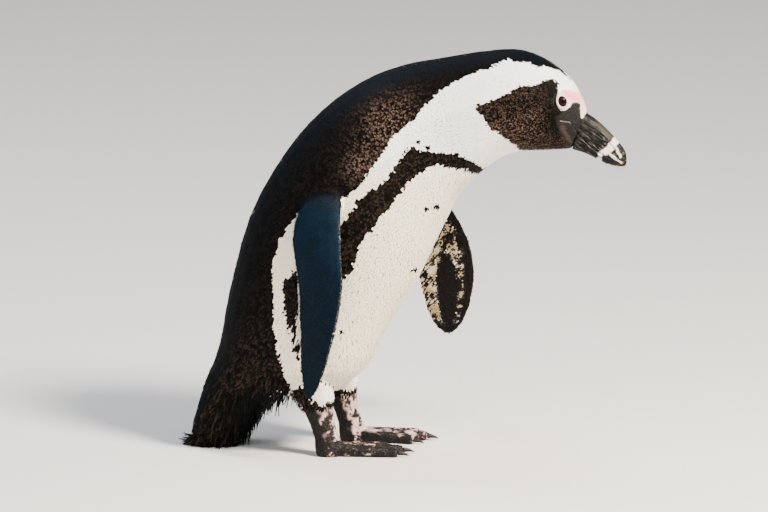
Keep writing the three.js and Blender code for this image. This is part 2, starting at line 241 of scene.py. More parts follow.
# %% [markdown]
# ## One skin under the feathers
#
# The solids of head, neck, trunk, tail, flippers, legs and feet are copied, swollen by a hair so
# that they overlap, and melted into one closed shape by a voxel remesh. The eyes are melted in as
# well, which fills their sockets; the lids are shaped over them later. That leaves one skin with
# no seam. It is then smoothed, and pulled in below the solids by the depth of the coat: 2.6 mm
# under the body feathers, less on the head and flippers, and hardly at all on the bare feet.

# %% Melt the solids together
FLESH = ["head", "neck", "trunk", "tail", "flipper_right", "flipper_left",
         "leg_right", "leg_left", "foot_right", "foot_left"]
SKIN_VOXEL = 1.55  # mm
SWELL = 0.35  # mm, closes the gaps of 0.3 mm between the solids


def finished_mesh(thing):
    """A new mesh: what the object's modifiers make of its own. The modifiers are then removed."""
    graph = bpy.context.evaluated_depsgraph_get()
    mesh = bpy.data.meshes.new_from_object(thing.evaluated_get(graph))
    thing.modifiers.clear()
    return mesh


def melted_copy(names, title, voxel, swell):
    """Copies of some solids in one mesh, merged, swollen and remeshed into one closed shape."""
    shape = bmesh.new()
    for name in names:
        shape.from_mesh(CAD[name].data)
    bmesh.ops.remove_doubles(shape, verts=shape.verts, dist=1e-6)
    shape.normal_update()
    for vert in shape.verts:
        vert.co += vert.normal * swell * MM
    mesh = bpy.data.meshes.new(title)
    shape.to_mesh(mesh)
    shape.free()
    thing = new_object(title, mesh)
    remesh = thing.modifiers.new("melt", "REMESH")
    remesh.mode = "VOXEL"
    remesh.voxel_size = voxel * MM
    thing.data = finished_mesh(thing)
    bpy.data.meshes.remove(mesh)
    thing.data.name = title
    return thing


skin = melted_copy(FLESH + ["eye_left", "eye_right"], "skin", SKIN_VOXEL, SWELL)
print("skin vertices:", len(skin.data.vertices))

# %% Clear loose bubbles out of it


def keep_largest(thing):
    """Deletes loose bubbles that a remesh can leave inside a shape."""
    shape = bmesh.new()
    shape.from_mesh(thing.data)
    left = set(shape.verts)
    islands = []
    while left:
        seed = left.pop()
        island, todo = [seed], [seed]
        while todo:
            for edge in todo.pop().link_edges:
                for vert in edge.verts:
                    if vert in left:
                        left.remove(vert)
                        island.append(vert)
                        todo.append(vert)
        islands.append(island)
    islands.sort(key=len, reverse=True)
    loose = [vert for island in islands[1:] for vert in island]
    bmesh.ops.delete(shape, geom=loose, context="VERTS")
    shape.to_mesh(thing.data)
    shape.free()
    print("islands removed:", len(islands) - 1, "vertices:", len(loose))


keep_largest(skin)

# %% [markdown]
# ## The skin as arrays of numbers
#
# The skin has well over a hundred thousand vertices, and a loop over them in Python is slow. So
# places, normals and edges are read into arrays, worked on all at once, and written back. One more
# array says which solid each vertex came from, because coat, smoothness and markings depend on it.

# %% Meshes as arrays


def gather(items, field, width, kind=np.float32):
    """One property of every item of a mesh, as the rows of an array."""
    flat = np.empty(len(items) * width, kind)
    items.foreach_get(field, flat)
    return flat.reshape(-1, width)


def places_of(mesh):
    """The vertices of a mesh as an array of plan points, mm."""
    return to_plan(gather(mesh.vertices, "co", 3))


def normals_of(mesh):
    return gather(mesh.vertex_normals, "vector", 3).astype(float)


def edges_of(mesh):
    return gather(mesh.edges, "vertices", 2, np.int32)


def move_to(mesh, plan_points):
    mesh.vertices.foreach_set("co", to_place(plan_points).astype(np.float32).ravel())
    mesh.update()


skin_edges = edges_of(skin.data)
skin_points = places_of(skin.data)
print("skin edges:", len(skin_edges), "height, mm:", round(float(np.ptp(skin_points[:, 2])), 1))

# %% Which solid each part of the skin came from
flesh_verts, flesh_faces, flesh_part = [], [], []
for number, name in enumerate(FLESH):
    solid = CAD[name].data
    first = len(flesh_verts)
    flesh_verts += [tuple(vert.co) for vert in solid.vertices]
    flesh_faces += [[first + i for i in face.vertices] for face in solid.polygons]
    flesh_part += [number] * len(solid.polygons)
flesh_tree = BVHTree.FromPolygons(flesh_verts, flesh_faces)
flesh_part = np.array(flesh_part)


def nearest_solid(plan_points):
    """For each plan point: the solid it is on, and how far outside (+) or inside (-) it lies, mm."""
    part = np.empty(len(plan_points), int)
    height = np.empty(len(plan_points))
    for i, point in enumerate(to_place(plan_points)):
        spot, facing, face, distance = flesh_tree.find_nearest(point)
        part[i] = flesh_part[face]
        height[i] = math.copysign(distance / MM, (Vector(point) - spot).dot(facing))
    return part, height


skin_part, _ = nearest_solid(skin_points)
part_is = {name: skin_part == number for number, name in enumerate(FLESH)}
print("skin vertices by part:", {name: int(mask.sum()) for name, mask in part_is.items()})

# %% Values that spread softly over a mesh


def neighbour_mean(field, edges):
    """Each vertex's value averaged over its neighbours."""
    a, b = edges[:, 0], edges[:, 1]
    count = len(field)
    neighbours = np.bincount(a, minlength=count) + np.bincount(b, minlength=count)
    columns = field.reshape(count, -1)
    total = np.stack([
        np.bincount(a, column[b], count) + np.bincount(b, column[a], count)
        for column in columns.T
    ], axis=1)
    return (total / np.maximum(neighbours, 1)[:, None]).reshape(field.shape)


def spread(field, edges, rounds, weight=0.5):
    """Smooths a field over a mesh; weight may be one number or one for each vertex."""
    weight = np.broadcast_to(weight, len(field)).reshape((-1,) + (1,) * (field.ndim - 1))
    for _ in range(rounds):
        field = field + weight * (neighbour_mean(field, edges) - field)
    return field


def by_part(values, fallback, edges, is_part):
    """A value for each skin vertex from the solid it belongs to, softened over the joins."""
    field = np.full(len(is_part["head"]), float(fallback))
    for name, value in values.items():
        field[is_part[name]] = value
    return spread(field, edges, 8)


def both(limb, value):
    """The same value for a limb's right and left solid."""
    return {limb + "_right": value, limb + "_left": value}


print("one value for both legs:", both("leg", 0.1))

# %% [markdown]
# ## The skin smoothed and sunk
#
# The facets of the solids are smoothed away, but not the thin edges of flippers, toes and the rim
# round the bill's root. Then the skin is pulled in by the depth of the coat that will lie on it.

# %% Smooth the facets and sink the skin
SMOOTHNESS = {"head": 0.35, **both("flipper", 0.12), **both("leg", 0.25), **both("foot", 0.06)}
SMOOTH_ROUNDS = 90
BODY_DEPTH = 2.6  # mm of feathers over the trunk and the tail
COAT_DEPTH = {"head": 1.3, "neck": 2.2, **both("flipper", 0.55), **both("leg", 0.1),
              **both("foot", 0.1)}
BILL_ROOT = np.array([222.5, 0.0, 316.5])
BILL_AXIS = np.array([0.80, 0, -0.60])  # the way the bill points
FACE_RAMP = (14.0, 34.0)  # mm from the bill's root over which the face feathers gain their depth
FACE_DEPTH = 0.12
ROOT_SMOOTHNESS = 0.08  # the rim of skin where the horn of the bill comes out keeps its edge
ROOT_RAMP = (2, 9)  # mm behind the bill's root over which that rim ends
SOLE_HEIGHT = 0.02  # mm between the skin of the soles and the floor


def depth_of_coat(points, edges, is_part):
    """How far the skin lies under the tips of the feathers, mm, at each of its vertices."""
    depth = by_part(COAT_DEPTH, BODY_DEPTH, edges, is_part)
    from_bill = np.linalg.norm(points - BILL_ROOT, axis=1)
    ramp = np.clip((from_bill - FACE_RAMP[0]) / (FACE_RAMP[1] - FACE_RAMP[0]), 0, 1)
    depth = np.where(is_part["head"], FACE_DEPTH + (depth - FACE_DEPTH) * ramp, depth)
    return spread(depth, edges, 6)


behind_root = (BILL_ROOT - skin_points) @ BILL_AXIS
smoothness = by_part(SMOOTHNESS, 1.0, skin_edges, part_is)
rim = np.clip((ROOT_RAMP[1] - behind_root) / (ROOT_RAMP[1] - ROOT_RAMP[0]), 0, 1) * part_is["head"]
smooth_weight = 0.5 * (smoothness + rim * (ROOT_SMOOTHNESS - smoothness))
skin_points = spread(skin_points, skin_edges, SMOOTH_ROUNDS, smooth_weight)
coat_depth = depth_of_coat(skin_points, skin_edges, part_is)
move_to(skin.data, skin_points)
_, skin_height = nearest_solid(skin_points)
sink = spread(skin_height + coat_depth, skin_edges, 12)
skin_points = skin_points - normals_of(skin.data) * sink[:, None]
skin_points[:, 2] = np.maximum(skin_points[:, 2], SOLE_HEIGHT)
move_to(skin.data, skin_points)
print("skin sunk by up to", round(float(sink.max()), 2), "mm")

# %% Thin the skin out
SKIN_SHARE = 0.41  # share of the triangles that the skin keeps
thin_out = skin.modifiers.new("thin_out", "DECIMATE")
thin_out.ratio = SKIN_SHARE
skin.data = finished_mesh(skin)
print("skin triangles:", len(skin.data.polygons))

# %% [markdown]
# ## Eyes set in scalloped rings of bare skin
#
# The eye is a ball of 14 mm, and only a window of about 8 by 10 mm of it shows. Round that window
# lies a thick ring of naked pink skin with a scalloped rim. The skin near each eye is divided
# finely. Its vertices are then moved along the way the eye looks: under the ball inside the
# window, up in a rounded ridge at the ring, and back to the cheek outside it. The mouth's corner
# is a short crease in the same finely divided skin.

# %% Divide the face finely
EYE_AT = np.array([208.5, 16.0, 347.3])  # the left one; the right one is its mirror image
EYE_RADIUS = 7.0
EYE_LOOKS = np.array([0.26, 0.95, 0.13])
EYE_LOOKS /= np.linalg.norm(EYE_LOOKS)  # the way the left eye looks
EYE_WINDOW = (4.0, 5.1)  # half width and half height of what shows of the ball
EYE_TILT = math.radians(17)  # by which the window leans back
FACE_FROM_X, FACE_FROM_Z = 199.0, 300.0  # mm; the face lies ahead of and above these
FEET_FROM_X, FEET_TO_Z = -40.0, 36.0  # mm; the feet lie ahead of and below these
EYE_ZONE = 15.0  # mm round the eye within which the lids are shaped


def refine(thing, wanted):
    """Halves every edge of the faces whose middle satisfies wanted, in plan millimetres."""
    shape = bmesh.new()
    shape.from_mesh(thing.data)
    edges = {
        edge for face in shape.faces if wanted(to_plan(face.calc_center_median()))
        for edge in face.edges
    }
    bmesh.ops.subdivide_edges(shape, edges=list(edges), cuts=1, use_grid_fill=True)
    bmesh.ops.triangulate(shape, faces=[face for face in shape.faces if len(face.verts) > 3])
    shape.to_mesh(thing.data)
    shape.free()


def near_eye(point, reach):
    mirrored = np.array([point[0], abs(point[1]), point[2]])
    return np.linalg.norm(mirrored - EYE_AT) < reach


refine(skin, lambda point: point[0] > FACE_FROM_X and point[2] > FACE_FROM_Z)
refine(skin, lambda point: near_eye(point, EYE_ZONE - 4))
refine(skin, lambda point: point[0] > FEET_FROM_X and point[2] < FEET_TO_Z)
print("skin triangles with a fine face and fine feet:", len(skin.data.polygons))

# %% Shape the eyelid rings
RING_HEIGHT, GROOVE_DEPTH = 1.35, 0.45  # mm
RING_AT, GROOVE_AT = 1.36, 1.95  # times the window's size
RING_WIDTH, GROOVE_WIDTH = 0.21, 0.16
CHEEK_FROM, CHEEK_TO, LID_END = 2.1, 3.6, 2.5  # times the window's size
FLESHY_AT = math.radians(215)  # the ring is thickest low and behind
SCALLOPS = 13
LID_OVER_BALL = 0.12  # mm
WINDOW_SINK = 2.2  # mm by which the skin dives under the ball inside the window


def unit(vectors):
    """The same directions, each with a length of 1."""
    return vectors / np.linalg.norm(vectors, axis=1)[:, None]


def eye_frame(side):
    """The way the eye looks, forward along the cheek and up the cheek, for side +1 or -1."""
    looks = EYE_LOOKS * (1, side, 1)
    forward = np.cross((0, 0, 1), looks) * -side
    forward /= np.linalg.norm(forward)
    up = np.cross(looks, forward) * side
    return looks, forward, up * np.sign(up[2])


skin_points = places_of(skin.data)
for side in (1, -1):  # left, right
    looks, forward, up = eye_frame(side)
    offset = skin_points - EYE_AT * (1, side, 1)
    height = offset @ looks
    ahead = offset @ forward * math.cos(EYE_TILT) + offset @ up * math.sin(EYE_TILT)
    above = offset @ up * math.cos(EYE_TILT) - offset @ forward * math.sin(EYE_TILT)
    near = (np.linalg.norm(offset, axis=1) < EYE_ZONE + 6) & (height > -2)
    ratio = np.hypot(ahead / EYE_WINDOW[0], above / EYE_WINDOW[1])
    cheek = near & (ratio > CHEEK_FROM) & (ratio < CHEEK_TO)
    terms = np.stack([np.ones_like(ahead), ahead, above, ahead ** 2, ahead * above, above ** 2], 1)
    fit = np.linalg.lstsq(terms[cheek], height[cheek], rcond=None)[0]
    level = terms @ fit
    blend = np.clip((LID_END - ratio) / 0.5, 0, 1)
    angle = np.arctan2(above, ahead)
    fleshy = 0.72 + 0.28 * np.cos(angle - FLESHY_AT)
    scallop = 1 + 0.16 * np.cos(SCALLOPS * angle) * np.clip((ratio - 1.2) * 4, 0, 1)
    ridge = RING_HEIGHT * fleshy * scallop * np.exp(-((ratio - RING_AT) / RING_WIDTH) ** 2)
    groove = GROOVE_DEPTH * np.exp(-((ratio - GROOVE_AT) / GROOVE_WIDTH) ** 2) * fleshy
    ball = np.sqrt(np.maximum(EYE_RADIUS ** 2 - ahead ** 2 - above ** 2, 0))
    lid = np.maximum(level, ball + LID_OVER_BALL) + ridge - groove
    under = np.clip((1.04 - ratio) / 0.12, 0, 1)
    target = lid * (1 - under) + (ball - WINDOW_SINK) * under
    moved = np.where(near & (ratio < LID_END), height + (target - height) * blend, height)
    skin_points = skin_points + (moved - height)[:, None] * looks
    print("eyelid ring", side, "stands out by up to", round(float((moved - height).max()), 2), "mm")
move_to(skin.data, skin_points)

# %% Read the finished shape of the skin
skin_edges = edges_of(skin.data)
skin_part, _ = nearest_solid(skin_points)
part_is = {name: skin_part == number for number, name in enumerate(FLESH)}
coat_depth = depth_of_coat(skin_points, skin_edges, part_is)
skin_normals = normals_of(skin.data)
print("coat depth, mm:", round(float(coat_depth.min()), 2), "to", round(float(coat_depth.max()), 2))

# %% [markdown]
# ## Where each marking lies
#
# An African penguin wears a black cape, a black mask round a white stripe, one black band that
# arches over the breast and runs down both flanks, and a few spots of its own. All of them read
# best from the side, so each is one closed line in the plan's x and z, the same on both sides.
# Both the skin and every feather ask the same function what they are: how dark, how bare, how warm in
# tone, and how flecked or creamy. On the cape and the flippers the tone and the flecks also carry
# painted light and shade. Looking up a slightly shaken place gives the ragged edges that feathers
# give.

# %% Outlines of the markings
CAPE = [(192, 384), (173, 386), (153, 385), (138, 377), (115, 369), (95, 356), (79, 341),
        (72, 329), (57, 318), (45, 299), (36, 287), (27, 273), (10, 257), (-12, 250), (-31, 244),
        (-44, 229), (-56, 209), (-61, 191), (-60, 165), (-59, 133), (-55, 103), (-49, 75),
        (-39, 50), (-36, 28), (-55, -30), (-230, -30), (-230, 460), (192, 460)]
MASK = [(130, 341), (143, 348), (160, 356), (170, 362), (183, 364), (197, 369), (203, 367),
        (205, 361), (206.5, 357), (207, 352), (209, 346), (213, 343), (219, 346.5), (225, 345),
        (226, 337), (236, 331), (246, 300), (235, 268), (190, 272), (172, 284), (166, 300),
        (154, 312), (141, 323), (136, 332)]
BAND = [(142, 268), (130, 281), (116, 293), (103, 297), (92, 298), (80, 301), (69, 304),
        (60, 292), (47, 272), (27, 258), (13, 240), (-8, 212), (-30, 190), (-48, 175), (-49, 156),
        (-47, 136), (-43, 119), (-38, 98), (-34, 100), (-36, 122), (-27, 148), (-5, 168),
        (13, 182), (20, 198), (25, 214), (36, 228), (53, 249), (62, 262), (71, 273), (84, 283),
        (95, 285), (106, 282), (118, 278), (126, 271), (131, 262)]
BARE_FACE = [(205, 354.5), (207.3, 357.2), (211.5, 358.8), (217.5, 358.2), (223, 354.5), (228, 346),
             (229.5, 339), (229, 331), (225.5, 331), (225, 345), (219, 346.5), (215, 340.5),
             (210, 338.3), (205.3, 342), (203.2, 348.5)]
SPOTS = [(77, 309, 2.0, -1), (85, 303, 1.8, -1), (132, 344, 1.9, -1), (83, 242, 2.1, -1),
         (91, 243, 2.3, -1), (68, 180, 1.8, -1), (5, 124, 2.0, -1), (88, 226, 2.0, 1),
         (60, 205, 2.2, 1), (49, 168, 1.7, 1), (72, 214, 1.5, 1)]  # x, z, radius and side
FACE_HIDE = [(219, 346), (225, 345), (227, 338), (240, 332), (246, 300), (238, 284), (217, 289),
             (212, 305), (207, 319), (205, 330), (209, 336), (215, 340)]
TAN_STREAK = [(209, 323), (212, 315), (215, 308)]
GAPE = [(207.5, 328.2), (211.5, 328.3), (216.0, 326.9)]
MOUTH_CORNER = [(207.5, 327.4), (212.0, 327.5), (217.0, 325.6), (222.5, 316.5)]
CROWN_STRIPE = [(160, 20.0), (175, 17.0), (186, 13.0), (200, 7.5), (208, 3.6), (216, 0.2),
                (222, -1.5)]  # x and half width
for title, outline in (("cape", CAPE), ("mask", MASK), ("band", BAND), ("bare face", BARE_FACE)):
    print(title, "outline points:", len(outline))


# %% Smooth lines, and how far a place is from them
STEPS_PER_POINT = 4


def curve_at(before, anchor, after, beyond, t):
    """The place a share t of the way from anchor to after, on a smooth curve through all four."""
    return 0.5 * (
        2 * anchor + (after - before) * t
        + (2 * before - 5 * anchor + 4 * after - beyond) * t ** 2
        + (3 * anchor - before - 3 * after + beyond) * t ** 3
    )


def smooth_line(points):
    """A closed curve through the points, as many short steps."""
    anchor = np.array(points, float)
    before, after, beyond = (np.roll(anchor, shift, axis=0) for shift in (1, -1, -2))
    steps = [curve_at(before, anchor, after, beyond, t)
             for t in np.arange(STEPS_PER_POINT) / STEPS_PER_POINT]
    return np.stack(steps, axis=1).reshape(-1, 2)


def inside_by(points, outline):
    """How far each point of x and z lies inside a closed line, mm; outside is negative."""
    line = smooth_line(outline)
    nearest = np.full(len(points), 1e9)
    inside = np.zeros(len(points), bool)
    px, pz = points[:, 0], points[:, 1]
    for (ax, az), (bx, bz) in zip(line, np.roll(line, -1, axis=0)):
        ex, ez = bx - ax, bz - az
        t = np.clip(((px - ax) * ex + (pz - az) * ez) / (ex * ex + ez * ez + 1e-12), 0, 1)
        nearest = np.minimum(nearest, (px - ax - t * ex) ** 2 + (pz - az - t * ez) ** 2)
        if az != bz:
            crosses = ((az > pz) != (bz > pz)) & (px < ex * (pz - az) / ez + ax)
            inside ^= crosses
    return np.where(inside, 1, -1) * np.sqrt(nearest)


def away_from(points, line):
    """How far each point of x and z lies from an open line, mm."""
    nearest = np.full(len(points), 1e9)
    for start, end in zip(np.array(line[:-1], float), np.array(line[1:], float)):
        step = end - start
        t = np.clip(((points - start) @ step) / (step @ step), 0, 1)
        nearest = np.minimum(nearest, np.linalg.norm(points - start - t[:, None] * step, axis=1))
    return nearest


print("short steps round the cape:", len(smooth_line(CAPE)))

# %% Noise, soft edges and soft ovals


def ripple(points, size, seed):
    """Smooth noise of about -1 to 1 with features of the given size, mm."""
    shift = Vector((seed * 17.3, seed * 5.1, seed * 29.7))
    return np.array([noise.noise(Vector(point) / size + shift) for point in points])


def share(value, low, high):
    """0 below low, 1 above high, smooth in between."""
    t = np.clip((value - low) / (high - low), 0, 1)
    return t * t * (3 - 2 * t)


def patch(across, up, middle, half):
    """1 in the middle of a soft oval, falling to nothing round it."""
    return np.exp(-(((across - middle[0]) / half[0]) ** 2 + ((up - middle[1]) / half[1]) ** 2))


print("half way up a soft edge:", share(0.5, 0, 1))

# %% [markdown]
# ## The flippers' own plan
#
# A flipper's markings follow the blade: how far along it a point lies, how far across from its
# rear edge to its leading edge, and which face it is on. The blade's line repeats the joints of
# the solid.

# %% The line of a flipper
FLIPPERS = {
    "flipper_right": {"joints": [(-5, -46, 284), (-15, -80, 228), (-10.5, -87, 166), (-23, -83, 64)],
                      "lead": [(0.99, -0.1, 0), (0.71, -0.7, 0)], "broad": 0.92, "outer": 1},
    "flipper_left": {"joints": [(10, 46, 276), (45, 80, 222), (67, 110, 167), (60, 170, 82)],
                     "lead": [(0.97, 0.25, 0), (0.97, 0.25, 0)], "broad": 1, "outer": -1},
}
BLADE_ALONG = (0, 0.15, 0.32, 0.5, 0.68, 0.84, 0.95, 1)
BLADE_HALF = (14, 21, 30, 30.5, 27.5, 22.5, 15, 5)  # mm from the middle line to either edge
BLADE_LENGTH = 210.0  # mm from the shoulder to the tip
BLADE_STEPS = 60


def blade_line(joints):
    """Points along a flipper's middle, evenly stepped from the shoulder to the tip."""
    anchor = np.array(joints, float)
    padded = np.vstack([2 * anchor[0] - anchor[1], anchor, 2 * anchor[-1] - anchor[-2]])
    points = []
    for i in range(len(anchor) - 1):
        points += [curve_at(*padded[i:i + 4], t) for t in np.linspace(0, 1, 24, endpoint=False)]
    points = np.array(points + [anchor[-1]])
    walked = np.concatenate([[0], np.cumsum(np.linalg.norm(np.diff(points, axis=0), axis=1))])
    even = np.linspace(0, walked[-1], BLADE_STEPS)
    return np.stack([np.interp(even, walked, points[:, k]) for k in range(3)], 1)


for name, blade in FLIPPERS.items():
    print(name, "tip at, mm:", np.round(blade_line(blade["joints"])[-1], 1))


# %% Along and across a flipper


def on_blade(points, name):
    """Along 0 to 1, across -1 to 1, the blade's direction and its outward normal, per point."""
    blade = FLIPPERS[name]
    line = blade_line(blade["joints"])
    nearest = np.argmin(((points[:, None] - line[None]) ** 2).sum(2), axis=1)
    tangent = np.gradient(line, axis=0)
    step = np.linalg.norm(tangent, axis=1)
    tangent /= step[:, None]
    way = tangent[nearest]
    beyond = ((points - line[nearest]) * way).sum(1) / step[nearest]
    along = np.clip((nearest + beyond) / (BLADE_STEPS - 1), 0, 1)
    first, last = (np.array(lead, float) for lead in blade["lead"])
    lead = first + (last - first) * along[:, None]
    lead = unit(lead - (lead * way).sum(1)[:, None] * way)
    outward = np.cross(way, lead) * blade["outer"]
    half = np.interp(along, BLADE_ALONG, BLADE_HALF) * blade["broad"]
    across = ((points - line[nearest]) * lead).sum(1) / half
    return along, across, way, outward


reach = [float(on_blade(skin_points[part_is[name]], name)[0].max()) for name in FLIPPERS]
print("the skin reaches this share of each blade:", np.round(reach, 2))

# %% [markdown]
# ## What the plumage is at each place
#
# One function for the body, one for the flippers and one for the legs tell the four values. Those of
# the body come in two steps: first which feathers are dark and where the face is bare, then how worn,
# creamy or flushed each of them is, and how warm in tone. On the cape that tone is partly painted
# light: brown black on the sides, partly painted sunlight, and slate blue along the spine, a painted
# reflection of a blue sky.

# %% The body's fields
EDGE_SHAKE = 2.2  # mm by which the edges of the markings wander
EDGE_SOFTNESS = 2.0  # mm
CROWN_FROM_X = 160
BREAST_SPECKLES = {"behind_x": -10, "below_z": 158}  # where the band breaks up into specks


def body_fields(points, facing):
    """Every marking of the body by name, each 0 to 1."""
    shake = EDGE_SHAKE * np.stack([ripple(points, 7, seed) for seed in (1, 2, 3)], 1)
    shake = shake + EDGE_SHAKE * np.stack([ripple(points, 2.4, seed) for seed in (4, 5, 6)], 1)
    shaken = points + 0.6 * shake
    flat, outline = shaken[:, [0, 2]], points[:, [0, 2]]
    x, z = points[:, 0], points[:, 2]
    cape, mask = (share(inside_by(flat, line), -EDGE_SOFTNESS, EDGE_SOFTNESS)
                  for line in (CAPE, MASK))
    band = share(inside_by((points + shake)[:, [0, 2]], BAND), -EDGE_SOFTNESS, EDGE_SOFTNESS)
    speckled = share(BREAST_SPECKLES["behind_x"] - x, 0, 8)
    speckled = speckled * share(BREAST_SPECKLES["below_z"] - z, 0, 30)
    band = band * (1 - 0.9 * speckled * share(ripple(points, 4.5, 15), -0.05, 0.2))
    crown = share(np.interp(x, *zip(*CROWN_STRIPE)) - np.abs(shaken[:, 1]), -0.8, 0.8)
    crown = crown * (x > CROWN_FROM_X) * (facing[:, 2] > -0.1)
    spots = np.zeros(len(points))
    for spot_x, spot_z, radius, side in SPOTS:
        away = np.hypot(x - spot_x, z - spot_z) + 0.8 * (flat[:, 0] - x)
        spots = np.maximum(spots, share(radius - away, -0.7, 0.7) * (points[:, 1] * side > 0))
    pink = share(inside_by(outline, BARE_FACE), -0.8, 0.8) * (1 - crown)
    hide = share(inside_by(outline, FACE_HIDE), -1.5, 1.5) * (1 - pink)
    return {
        "cape": cape, "mask": mask, "band": band, "crown": crown, "spots": spots,
        "pink": pink, "hide": hide,
        "gape": share(0.42 - away_from(outline, GAPE), -0.25, 0.25) * hide,
        "tan": share(2.0 - away_from(flat, TAN_STREAK), -1.4, 1.4) * hide,
        "crease": share(0.8 - away_from(outline, MOUTH_CORNER), -0.5, 0.5) * hide,
    }


on_head = part_is["head"]
head_fields = body_fields(skin_points[on_head], skin_normals[on_head])
print("shares of the head:", {name: round(float(has.mean()), 2) for name, has in head_fields.items()})

# %% The body's four values
WORN_SHOULDER = ((50, 324), (25, 26))  # middle in x and z, half width and half height
WORN_ELBOW = ((24, 286), (15, 15))
FLUSHED_BROW = ((215, 353), (11, 8))
LID_REACH = 8.2  # mm from the middle of the eye
HIDE_FLECK = 0.2


def body_marks(points, facing):
    """Dark, bare, warm and flecked, each 0 to 1, for places on the body, head, neck and tail."""
    has = body_fields(points, facing)
    x, z = points[:, 0], points[:, 2]
    on_cape, on_pink, on_hide = (has[name] > 0.5 for name in ("cape", "pink", "hide"))
    dark = np.maximum.reduce([has[name] for name in ("cape", "mask", "band", "crown", "spots")])
    dark = np.where(has["pink"] > has["hide"], dark * (1 - has["pink"]), dark)
    # the gape is paler, but along the crease of the mouth's corner it stays darker: painted shade in
    # the crease
    dark = dark * (1 - 0.5 * has["gape"] * (1 - 0.4 * has["crease"]))

    shoulder, elbow = patch(x, z, *WORN_SHOULDER), patch(x, z, *WORN_ELBOW)
    # painted light: cape feathers that face sideways turn brown black, partly painted sunlight, and
    # carry a few more flecks; those facing up along the spine stay slate blue, a painted reflection
    # of a blue sky
    sunlit_sides = share(np.abs(facing[:, 1]), 0.45, 0.9)
    lower_back = share(180 - z, 0, 110)
    wear_and_painted_light = 0.04 * sunlit_sides + 0.8 * shoulder + 0.6 * elbow + 0.12 * lower_back * sunlit_sides
    cheek = 1 - share(x, 180, 204) * (1 - 0.6 * share(322 - z, 0, 16))
    low_cheek = 1 - 0.6 * share(z - 0.35 * x, 268, 282)
    fleck = np.where(on_cape, wear_and_painted_light, 0.0)
    fleck = np.maximum(fleck, has["mask"] * (0.06 + 0.72 * cheek * low_cheek))
    fleck = np.maximum(fleck, has["band"] * 0.14)
    cream = 0.5 - share(z, 262, 300) * 0.48
    fleck = np.where(dark > 0.5, fleck, cream)

    pale_brow = share(z + 0.55 * (x - 205), 361, 368)
    lid = share(LID_REACH - np.hypot(x - EYE_AT[0], z - EYE_AT[2]), -0.8, 0.8)
    brow = 1.3 * patch(x, z, *FLUSHED_BROW) + 0.6 * share(x, 217, 225)
    blush = np.clip(np.maximum(brow * (1 - 0.6 * lid), 0.36 * lid), 0, 1) * (1 - pale_brow)
    fleck = np.where(on_pink, blush, fleck)
    fleck = np.where(on_hide, HIDE_FLECK, fleck)
    # painted light: on the cape the warm tone follows the way each feather faces
    warm = np.where(on_cape, np.maximum(sunlit_sides, shoulder), 1.0)
    warm = np.where(on_pink, 0.0, warm)
    warm = np.where(on_hide, 1 - 0.6 * has["tan"], warm)
    bare = np.maximum(has["pink"], has["hide"])
    return np.stack([dark, bare, warm, np.clip(fleck, 0, 1)], 1)


head_marks = body_marks(skin_points[on_head], skin_normals[on_head])
print("means of the head's four values:", np.round(head_marks.mean(0), 2))

# %% [markdown]
# ## The flippers' markings
#
# The outer face of a flipper is slate, with a pale line along its rear edge and a painted blue sheen
# that is lighter towards the shoulder. The underside is cream, turned tan by painted shade beyond the
# root, with a dark leading edge, a dark tip, a dark oval before the tip and streaks that slant across
# its rear half. Each is a soft band or oval in the flipper's own plan, frayed by noise.

# %% The flippers' four values
SHOULDER_MARKS = (1, 0, 0.3, 0.02)  # the root of a flipper is as dark as the back above it
UNDER_OVAL = ((0.78, 0.03), (0.235, 0.43))  # along and across: middle, half length, half width
UNDER_PLAIN = ((0.45, -0.3), (0.06, 0.3))  # a cream patch without streaks


